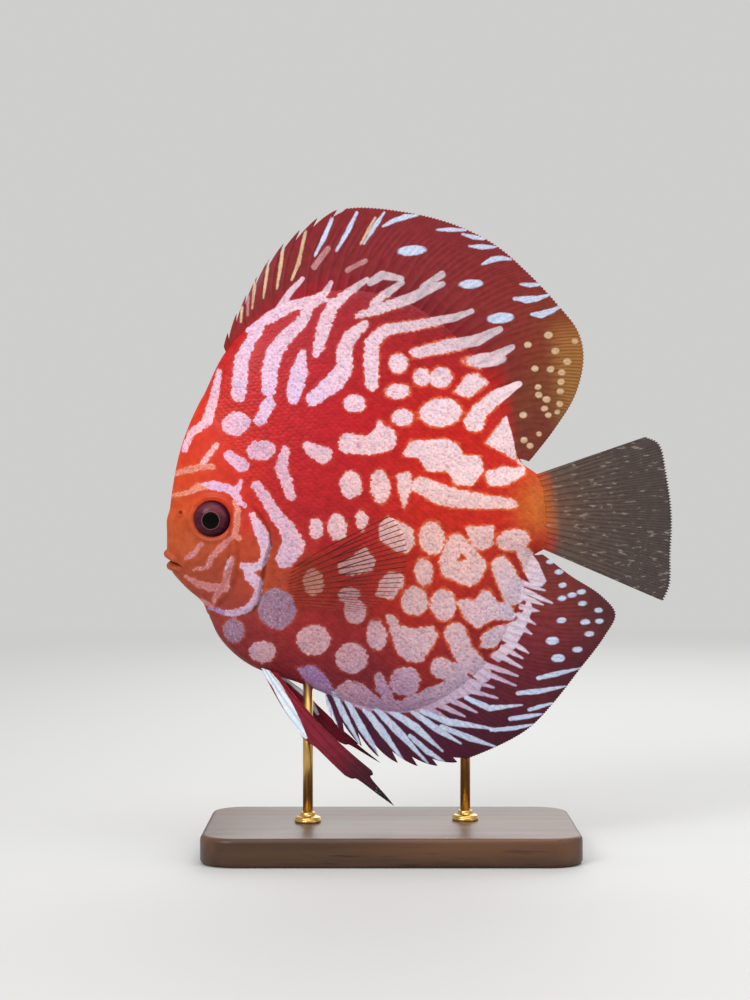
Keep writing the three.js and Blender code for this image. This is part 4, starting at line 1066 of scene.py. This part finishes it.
def make_scales(name, side):
    rng = np.random.default_rng(SEED + side)
    columns, rows = (np.arange(-reach, reach + 1) for reach in SCALE_REACH)
    u, w = np.meshgrid(columns * SCALE_PITCH[0], rows * SCALE_PITCH[1])
    u = (u + np.where(rows % 2, SCALE_PITCH[0] / 2, 0)[:, None]).ravel()
    w = w.ravel()
    u = u + rng.normal(0, 0.14, len(u))
    w = w + rng.normal(0, 0.12, len(w))
    turn, share, outward = share_at(u, w)
    x, z = outline_place(turn, share)
    keep = (outward < 0.975) & (behind_head(x, z) > 1.0) & (x < SCALES_END)
    u, w, x, z = u[keep], w[keep], x[keep], z[keep]
    template, faces = scale_template()
    n, count = len(template), len(u)
    size = np.clip(rng.normal(1, 0.05, count), 0.88, 1.12)
    size = size * (0.62 + 0.38 * smoothstep(behind_head(x, z), 1, 9))
    size = (size * (1 - 0.25 * smoothstep(x, 40, SCALES_END)))[:, None]
    lean = rng.normal(0, 0.07, count)[:, None]
    lengthways, across = template[:, 0] * SCALE_STRETCH[0], template[:, 1] * SCALE_STRETCH[1]
    du = size * (lengthways * np.cos(lean) - across * np.sin(lean))
    dw = size * (lengthways * np.sin(lean) + across * np.cos(lean))
    here, normal = on_flank(u[:, None] + du, w[:, None] + dw, side)
    height = template[:, 2] * size - COAT_DEPTH + rng.normal(0, 0.015, (count, 1))
    points = here + normal * height[..., None]
    all_faces = (faces[None] + n * np.arange(count)[:, None, None]).reshape(-1, 3)
    if side > 0:
        all_faces = all_faces[:, ::-1]
    piece = new_piece(name, points.reshape(-1, 3), all_faces, scale_look)
    ends = np.empty(2 * len(piece.data.edges), np.int32)
    piece.data.edges.foreach_get("vertices", ends)
    on_rim = (ends.reshape(-1, 2) % n < len(SCALE_RIM)).all(axis=1)
    piece.data.attributes.new("sharp_edge", "BOOLEAN", "EDGE").data.foreach_set("value", on_rim)

    flat_x, flat_z = here[..., 0].ravel(), here[..., 2].ravel()
    ground, mark, edge = paint(*marked_place(flat_x, flat_z, side), SKIN_TONES)
    centre_edge = paint(*marked_place(x, z, side), SKIN_TONES)[2] + rng.uniform(-0.3, 0.3, count)
    add_paint(piece, ground, mark, (1 - CENTRE_WEIGHT) * edge + CENTRE_WEIGHT * np.repeat(centre_edge, n))
    add_values(piece, "glow", glow_at(flat_x, flat_z))
    add_values(piece, "tone", np.repeat(rng.uniform(0, 1, count), n))
    # rim runs from 0 at a plate's root to 1 at its free edge; scale_colour paints shade over the root by it
    add_values(piece, "rim", np.tile(smoothstep(template[:, 0], -0.6, 1.1), count))
    centres = unwrap_place(np.hypot(u, w), np.arctan2(w, u), side)
    spread = template[:, :2] * 0.003 / 2.3
    add_unwrap(piece, (centres[:, None, :] + spread[None]).reshape(-1, 2))


make_scales("scales_left", -1)
make_scales("scales_right", 1)


# Fins: closed sheets whose rays are ridges; a ray's place is its whole-numbered phase across the fin
def ray_places(root, tip, bow, reach):
    """Places along rays from root to tip, for columns by rows."""
    chord = tip - root
    control = root + chord / 2 + bow * np.stack([-chord[:, 1], chord[:, 0]], axis=1)
    t = reach[..., None]
    return (1 - t) ** 2 * root[:, None] + 2 * t * (1 - t) * control[:, None] + t ** 2 * tip[:, None]


def ray_ridge(phase, reach, forks, width):
    """1 on a ray and 0 between rays; each fork (from, to) splits every ray in two along its length."""
    away = abs(phase - np.round(phase))
    apart = 0.25
    for low, high in forks:
        away = abs(away - apart * smoothstep(reach, low, high))
        apart /= 2
    return bell(away, width * (1 - 0.55 * smoothstep(reach, 0.2, 0.9)))


def sheet_faces(columns, rows):
    """Triangles of a closed sheet whose vertices are numbered column by column, near face first."""
    faces = []

    def quads(*corners):
        a, b, c, d = (2 * (i * rows + j) + side for i, j, side in corners)
        faces.extend([np.stack([a, b, c], axis=1), np.stack([a, c, d], axis=1)])
    i, j = (grid.ravel() for grid in np.meshgrid(np.arange(columns - 1), np.arange(rows - 1), indexing="ij"))
    quads((i, j, 0), (i + 1, j, 0), (i + 1, j + 1, 0), (i, j + 1, 0))
    quads((i + 1, j, 1), (i, j, 1), (i, j + 1, 1), (i + 1, j + 1, 1))
    i, j = np.arange(columns - 1), np.arange(rows - 1)
    top, rear = rows - 1, columns - 1
    quads((i, 0, 0), (i, 0, 1), (i + 1, 0, 1), (i + 1, 0, 0))
    quads((i, top, 0), (i + 1, top, 0), (i + 1, top, 1), (i, top, 1))
    quads((0, j, 0), (0, j + 1, 0), (0, j + 1, 1), (0, j, 1))
    quads((rear, j, 0), (rear, j, 1), (rear, j + 1, 1), (rear, j + 1, 0))
    return np.vstack(faces)


def make_fin(name, look, nodes, fin, columns, middle, tones, marks=None):
    """columns are root, tip, phase, length and spiny across the fin; middle(x, z, reach) gives its y."""
    root, tip, phase, length, spiny = columns
    rows = fin["rows"]
    count = len(root)
    share = np.linspace(0, 1, rows)[None, :] * np.ones((count, 1))
    reach = share * length[:, None]
    places = ray_places(root, tip, fin["bow"], reach)
    x, z = places[..., 0], places[..., 1]
    phase, spine = (values[:, None] * np.ones(rows) for values in (phase, spiny))
    ridge = ray_ridge(phase, reach, fin["forks"], fin["ray_width"]) * (1 - spine)
    ridge += ray_ridge(phase, np.zeros_like(reach), (), 0.1) * spine
    crest_root, crest_tip, web_root, web_tip = fin["thick"]
    web = web_tip + (web_root - web_tip) * (1 - share)
    half = web + (crest_tip + (crest_root - crest_tip) * (1 - share) - web) * ridge
    half[:, -1] *= 0.5
    y = middle(x, z, reach)
    points = np.stack([np.stack([x, y + side * half, z], axis=-1) for side in (-1, 1)], axis=2).reshape(-1, 3)
    faces = sheet_faces(count, rows)
    # The faces point outwards when the near face's triangles look towards -Y
    a, b, c = points[faces[0]]
    if np.cross(b - a, c - a)[1] > 0:
        faces = faces[:, ::-1]
    piece = new_piece(name, points, faces, look, nodes)
    flat_x, flat_z = points[:, 0], points[:, 2]
    ground, mark, edge = paint(flat_x, flat_z, tones, marks)
    if "root_tones" in fin:
        skin_ground = 0.85 * blended(flat_x, flat_z, SKIN_TONES)
        fade = np.repeat(smoothstep(reach, *fin["root_tones"]).ravel(), 2)[:, None]
        ground = skin_ground + (ground - skin_ground) * fade
    add_paint(piece, ground, mark, edge)
    for key, values in (("ray", ridge), ("reach", reach), ("phase", phase)):
        add_values(piece, key, np.repeat(values.ravel(), 2))
    add_values(piece, "olive", smoothstep(flat_x, 57, 66) * (1 - smoothstep(flat_z, 38, 50)) * (flat_z > 0))
    u = (flat_x - flat_x.min()) / FIN_SPAN + 0.02 + 0.49 * np.tile([0, 1], x.size)
    add_unwrap(piece, np.stack([u, (flat_z - flat_z.min()) / FIN_SPAN + 0.02], axis=1))


def median_columns(fin, base=(0, 1), margin=(0, 1), rays=None):
    """Roots, tips and phases in the middle plane, several to each ray, from shares of the base and margin."""
    rays = rays or fin["rays"]
    start, end = outline_share(fin["start"]), outline_share(fin["end"])
    u = np.linspace(0, 1, rays * fin["samples"] + 1)
    on_outline = along(OUTLINE, (start + (end - start) * (base[0] + (base[1] - base[0]) * u)) % 1)
    inwards = np.array(CENTRE) - on_outline
    root = on_outline + inwards * ROOT_DEPTH / np.linalg.norm(inwards, axis=1)[:, None]
    tip = along(curve_points(fin["margin"]), margin[0] + (margin[1] - margin[0]) * u)
    return root, tip, u * rays - 0.5


def paired_columns(base, tips, samples):
    spaces = len(tips) - 1
    u = np.linspace(0, 1, spaces * samples + 1)
    at_tips = np.arange(spaces + 1)
    tip = np.stack([np.interp(u * spaces, at_tips, column) for column in np.array(tips).T], axis=1)
    return along(curve_points(base), u), tip, u * spaces


def wave(x, z, reach):
    return WAVE * reach ** 2 * np.sin(x / 9 + z / 14)


def spiny_length(phase, share, notch):
    """How far out the web reaches: to each spine's tip, and less far just behind it."""
    behind = phase - np.floor(phase)
    depth = (1.15 - notch) * (1 - share) + 0.09 * share
    on_spine = (behind < 0.07) | (behind > 0.96)
    return np.where(on_spine, 1.0, 1 - depth * (1 - behind) ** 1.3)


def branches(phase, forks):
    return ray_ridge(phase, np.ones_like(phase), forks, BRANCH_WIDTH)


def long_columns(fin):
    """The columns of a fin with spines in front and soft rays behind."""
    spiny = median_columns(fin, (0, fin["spiny_base"]), (0, fin["spiny_margin"]), fin["spines"])
    soft = median_columns(fin, (fin["spiny_base"], 1), (fin["spiny_margin"], 1))
    root, tip, phase = (np.concatenate([front[:-1], rear]) for front, rear in zip(spiny, soft))
    spines = len(spiny[0]) - 1
    spiny_reach = spiny_length(spiny[2], np.linspace(0, 1, spines + 1), fin["notch"])[:-1]
    ends = smoothstep(soft[2], soft[2][-1] - 0.4, soft[2][-1])
    soft_reach = 0.988 + 0.012 * branches(soft[2], fin["forks"]) - 0.02 * ends
    is_spiny = np.concatenate([np.ones(spines), np.zeros(len(soft[2]))])
    return root, tip, phase, np.concatenate([spiny_reach, soft_reach]), is_spiny


make_fin("dorsal_fin", fin_look, ["fin_dorsal_spiny", "fin_dorsal_soft"], DORSAL,
         long_columns(DORSAL), wave, DORSAL_TONES)
make_fin("anal_fin", fin_look, ["fin_anal_spiny", "fin_anal_soft"], ANAL,
         long_columns(ANAL), wave, ANAL_TONES)

root, tip, phase = median_columns(CAUDAL)
length = 0.985 + 0.015 * branches(phase, CAUDAL["forks"])
make_fin("tail_fin", caudal_look, ["fin_caudal"], CAUDAL,
         (root, tip, phase, length, np.zeros(len(phase))), wave, CAUDAL_TONES, {})


def make_pectoral(name, side):
    tips = along(curve_points(PECTORAL["margin"]), np.linspace(0, 1, PECTORAL["rays"]))
    root, tip, phase = paired_columns(PECTORAL["base"], tips, PECTORAL["samples"])
    length = 0.97 + 0.03 * branches(phase, PECTORAL["forks"])
    root_x, root_z = (np.array(value) for value in PECTORAL["base"][1])
    root_y = float(half_width(root_x, root_z)) - PECTORAL_SINK

    def middle(x, z, reach):
        return side * (root_y + PECTORAL_SPREAD[name] * np.maximum(x - root_x + 1.5, 0))
    make_fin("pectoral_" + name, pectoral_look, ["fin_pectoral_" + name], PECTORAL,
             (root, tip, phase, length, np.zeros(len(phase))), middle, PECTORAL_TONES, {})


def make_pelvic(name, side):
    root, tip, phase = paired_columns(PELVIC["base"], PELVIC_TIPS[name], PELVIC["samples"])
    length = 1 - 0.1 * bell(abs(phase - np.round(phase)) - 0.5, 0.28)
    root_x, root_z = PELVIC["base"][0]

    def middle(x, z, reach):
        drop = np.maximum(root_z - z, 0) * (1 - np.maximum(x - root_x, 0) / 90)
        return side * (PELVIC_ROOT_HALF_GAP + PELVIC_SPLAY * drop)
    make_fin("pelvic_" + name, pelvic_look, ["fin_pelvic_" + name], PELVIC,
             (root, tip, phase, length, np.zeros(len(phase))), middle, PELVIC_TONES, PELVIC_MARKS[name])


for name, side in (("left", -1), ("right", 1)):
    make_pectoral(name, side)
    make_pelvic(name, side)


# Eyes: a dome with the pupil and the iris as rings round its axis, which is along Y
def eye_colour(look):
    radial = look.number("radial")
    iris = look.mix(look.number("upper"), rgb(56, 20, 38), rgb(104, 50, 60))
    iris = look.mix(look.smooth(look.noise(900, 3), 0.35, 0.7), iris, look.mix(0.5, iris, rgb(96, 36, 46)))
    iris = look.mix(look.smooth(radial, 4.4, 5.5), iris, rgb(74, 34, 50))
    ring = look.times(look.smooth(radial, 2.7, 2.8), look.smooth(radial, 2.86, 3.0, 1, 0))
    iris = look.mix(look.times(ring, 0.6), iris, rgb(140, 92, 66))
    return look.mix(look.smooth(radial, 2.6, 2.72), rgb(2, 1, 2), iris)


eye_look = Look("discus_eye", Roughness=0.45, Coat_Weight=0.12, Coat_Roughness=0.03, Specular_IOR_Level=0.02)
eye_look.set("Base Color", eye_colour(eye_look))


def make_eye(name, side):
    ex, ez, depth = EYE["x"], EYE["z"], EYE["depth"]
    middle = float(half_width(np.array(ex), np.array(ez))) + EYE["proud"] - depth
    lift = np.linspace(-math.pi / 2, math.pi / 2, EYE_RINGS + 1)[1:-1, None]
    round_axis = np.linspace(0, 2 * math.pi, EYE_SIDES, endpoint=False)
    radial = EYE["radius"] * np.cos(lift) ** EYE_FULLNESS
    height = depth * np.sign(lift) * abs(np.sin(lift)) ** EYE_FULLNESS
    rings = [ex + radial * np.cos(round_axis), side * (middle + height * np.ones(EYE_SIDES)),
             ez + radial * np.sin(round_axis)]
    poles = [[ex, side * (middle + sign * depth), ez] for sign in (-1, 1)]
    points = np.vstack([np.stack(rings, axis=-1).reshape(-1, 3), poles])
    faces = ring_faces(len(lift), EYE_SIDES)
    if side > 0:
        faces = faces[:, ::-1]
    eye = new_piece("eyeball_" + name, points, faces, eye_look, ["eye_" + name])
    x, y, z = points.T
    add_values(eye, "radial", np.hypot(x - PUPIL[0], z - PUPIL[1]))
    add_values(eye, "upper", smoothstep(z - ez + 0.3 * (x - ex), 0.6, 3.4))
    span = 30
    u = (x - ex) / span + 0.25 + 0.5 * (side * y < middle)
    add_unwrap(eye, np.stack([u, (z - ez) / span + 0.5], axis=1))


make_eye("left", -1)
make_eye("right", 1)


# Stand
wood_look = Look("walnut_base", Coat_Weight=0.12, Coat_Roughness=0.25, Specular_IOR_Level=0.3)
long_grain = wood_look.noise(38, 5, (0.22, 2.2, 2.2), 0.62)
bands = {"Vector": wood_look.place((0.6, 3.2, 3.2)), "Scale": 9.0, "Distortion": 5.0, "Detail": 3.0,
         "Detail Scale": 1.4}
year_rings = wood_look.node("TexWave", bands, wave_type="BANDS", bands_direction="Y").outputs["Fac"]
pores = wood_look.smooth(wood_look.noise(900, 2, (0.05, 1, 1)), 0.62, 0.74)
wood = wood_look.mix(wood_look.smooth(long_grain, 0.3, 0.7), rgb(54, 34, 22), rgb(98, 64, 40))
wood = wood_look.mix(wood_look.times(year_rings, 0.4), wood, rgb(40, 24, 16))
wood = wood_look.mix(wood_look.times(pores, 0.6), wood, rgb(26, 16, 11))
wood_look.set("Base Color", wood)
wood_look.set("Roughness", wood_look.smooth(long_grain, 0.2, 0.8, 0.38, 0.5))
wood_look.bump(wood_look.math("SUBTRACT", wood_look.times(long_grain, 0.4), pores), 0.25, 0.0002)

brass_look = Look("brushed_brass", Metallic=1.0)
brush = brass_look.noise(1400, 3, (1, 1, 0.04))
brass_look.set("Base Color", brass_look.mix(brass_look.noise(120, 3), rgb(186, 146, 78), rgb(212, 172, 104)))
brass_look.set("Roughness", brass_look.smooth(brush, 0.25, 0.75, 0.22, 0.36))
brass_look.bump(brush, 0.12, 0.0001)


def lofted(name, rings, look, node):
    """A closed piece from rings of points of the same number, with flat ends."""
    points = np.vstack(rings + [rings[0].mean(0)[None], rings[-1].mean(0)[None]])
    new_piece(name, points, ring_faces(len(rings), len(rings[0])), look, [node], in_fish=False)


def rounded_outline(half_length, half_depth, corner, steps=14):
    points = []
    for cx, cy, start in ((1, 1, 0), (-1, 1, 90), (-1, -1, 180), (1, -1, 270)):
        for turn in np.deg2rad(np.linspace(start, start + 90, steps + 1)):
            points.append((cx * (half_length - corner) + corner * math.cos(turn),
                           cy * (half_depth - corner) + corner * math.sin(turn)))
    return np.array(points)


base_low, base_high = (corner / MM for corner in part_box("stand_base"))
base_half = (base_high - base_low) / 2
base_rings = []
for edge_z, inwards, fillet in ((base_low.z, 1, (-90, 0)), (base_high.z, -1, (0, 90))):
    for turn in np.deg2rad(np.linspace(*fillet, 9)):
        inset = BASE_FILLET * (1 - math.cos(turn))
        ring = rounded_outline(base_half.x - inset, base_half.y - inset, BASE_CORNER - inset)
        height = edge_z + BASE_FILLET * (math.sin(turn) + inwards)
        base_rings.append(np.column_stack([ring, np.full(len(ring), height)]))
lofted("plinth", base_rings, wood_look, "stand_base")


def lathed(name, profile, place, node):
    """A brass lathe form from (radius, height) round an upright axis."""
    round_axis = np.linspace(0, 2 * math.pi, ROD_SIDES, endpoint=False)
    rings = [np.column_stack([place.x + r * np.cos(round_axis), place.y + r * np.sin(round_axis),
                              np.full(ROD_SIDES, h)]) for r, h in profile]
    lofted(name, rings, brass_look, node)


collar = list(COLLAR_FOOT)
for turn in np.linspace(0, math.pi / 2, 7):
    collar.append((COLLAR_BEAD["radius"] + COLLAR_BEAD["reach"] * math.cos(turn),
                   COLLAR_BEAD["height"] + COLLAR_BEAD["rise"] * math.sin(turn)))
collar += COLLAR_NECK
for name in ("front", "rear"):
    rod_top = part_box("stand_rod_" + name)[1].z / MM
    low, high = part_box("stand_collar_" + name)
    place = (low + high) / 2 / MM
    lathed("rod_" + name, [(ROD_RADIUS, base_high.z - ROD_SINK), (ROD_RADIUS, rod_top + 1.2)], place,
           "stand_rod_" + name)
    lathed("collar_" + name, [(r, base_high.z + h) for r, h in collar], place, "stand_collar_" + name)


# Floor, light and camera, in metres
PALE = 0.62
FLOOR_RADIUS = 4
FLOOR_SIDES = 96
AIM = Vector((0, 0, 0.11))
LIGHTS = [  # name, place, size, power in watts
    ("key", (-0.5, -0.75, 0.66), 0.4, 6.4), ("top", (0.1, -0.15, 0.9), 0.7, 4.2),
    ("fill", (0.85, -0.55, 0.38), 0.5, 1.3), ("back", (0.2, 0.9, 0.6), 0.8, 5),
]
scene = bpy.context.scene


def pale(level):
    return (level, level, level * 0.985, 1)


floor_look = Look("studio_floor", Roughness=0.7)
floor_look.set("Base Color", pale(0.5))
away = floor_look.node("VectorMath", {0: floor_look.place()}, operation="LENGTH").outputs["Value"]
glow = floor_look.node("Emission", {"Color": pale(PALE), "Strength": 1.0}).outputs[0]
fade = floor_look.smooth(away, 0.35, 1.3)
blend = floor_look.node("MixShader", {0: fade, 1: floor_look.shader.outputs[0], 2: glow}).outputs[0]
floor_look.put(floor_look.tree.nodes["Material Output"].inputs["Surface"], blend)
mesh = bpy.data.meshes.new("floor")
around = np.linspace(0, 2 * math.pi, FLOOR_SIDES, endpoint=False)
corners = [(0, 0, 0)] + [(FLOOR_RADIUS * math.cos(turn), FLOOR_RADIUS * math.sin(turn), 0) for turn in around]
mesh.from_pydata(corners, [], [(0, 1 + i, 1 + (i + 1) % FLOOR_SIDES) for i in range(FLOOR_SIDES)])
mesh.materials.append(floor_look.material)
floor = bpy.data.objects.new("floor", mesh)
scene.collection.objects.link(floor)
floor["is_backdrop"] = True

scene.view_settings.view_transform = "Standard"
scene.world = bpy.data.worlds.new("studio")
scene.world.use_nodes = True
background = scene.world.node_tree.nodes["Background"]
background.inputs["Color"].default_value = pale(PALE)
background.inputs["Strength"].default_value = 1.0

for name, place, size, power in LIGHTS:
    light = bpy.data.lights.new(name, "AREA")
    light.shape = "SQUARE"
    light.size = size
    light.energy = power
    lamp = bpy.data.objects.new(name, light)
    lamp.location = place
    lamp.rotation_euler = (AIM - Vector(place)).to_track_quat("-Z", "Y").to_euler()
    scene.collection.objects.link(lamp)

camera_data = bpy.data.cameras.new("camera")
camera_data.sensor_fit = "VERTICAL"
camera_data.sensor_height = SENSOR
camera_data.lens = SENSOR * CAMERA_DISTANCE / (PHOTO_SIZE[1] * MM_PER_PIXEL * MM)
camera_data.clip_start = 0.01
camera = bpy.data.objects.new("camera", camera_data)
frame_x = FISH_X + (PHOTO_SIZE[0] / 2 - FISH_PIXEL[0]) * MM_PER_PIXEL * MM
frame_z = FISH_Z - (PHOTO_SIZE[1] / 2 - FISH_PIXEL[1]) * MM_PER_PIXEL * MM
camera.location = (frame_x, -CAMERA_DISTANCE, frame_z)
camera.rotation_euler = (math.pi / 2, 0, 0)
scene.collection.objects.link(camera)
scene.camera = camera

size = {"cad": [list(corner) for corner in cad_box], "visual": [list(corner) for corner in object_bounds()]}
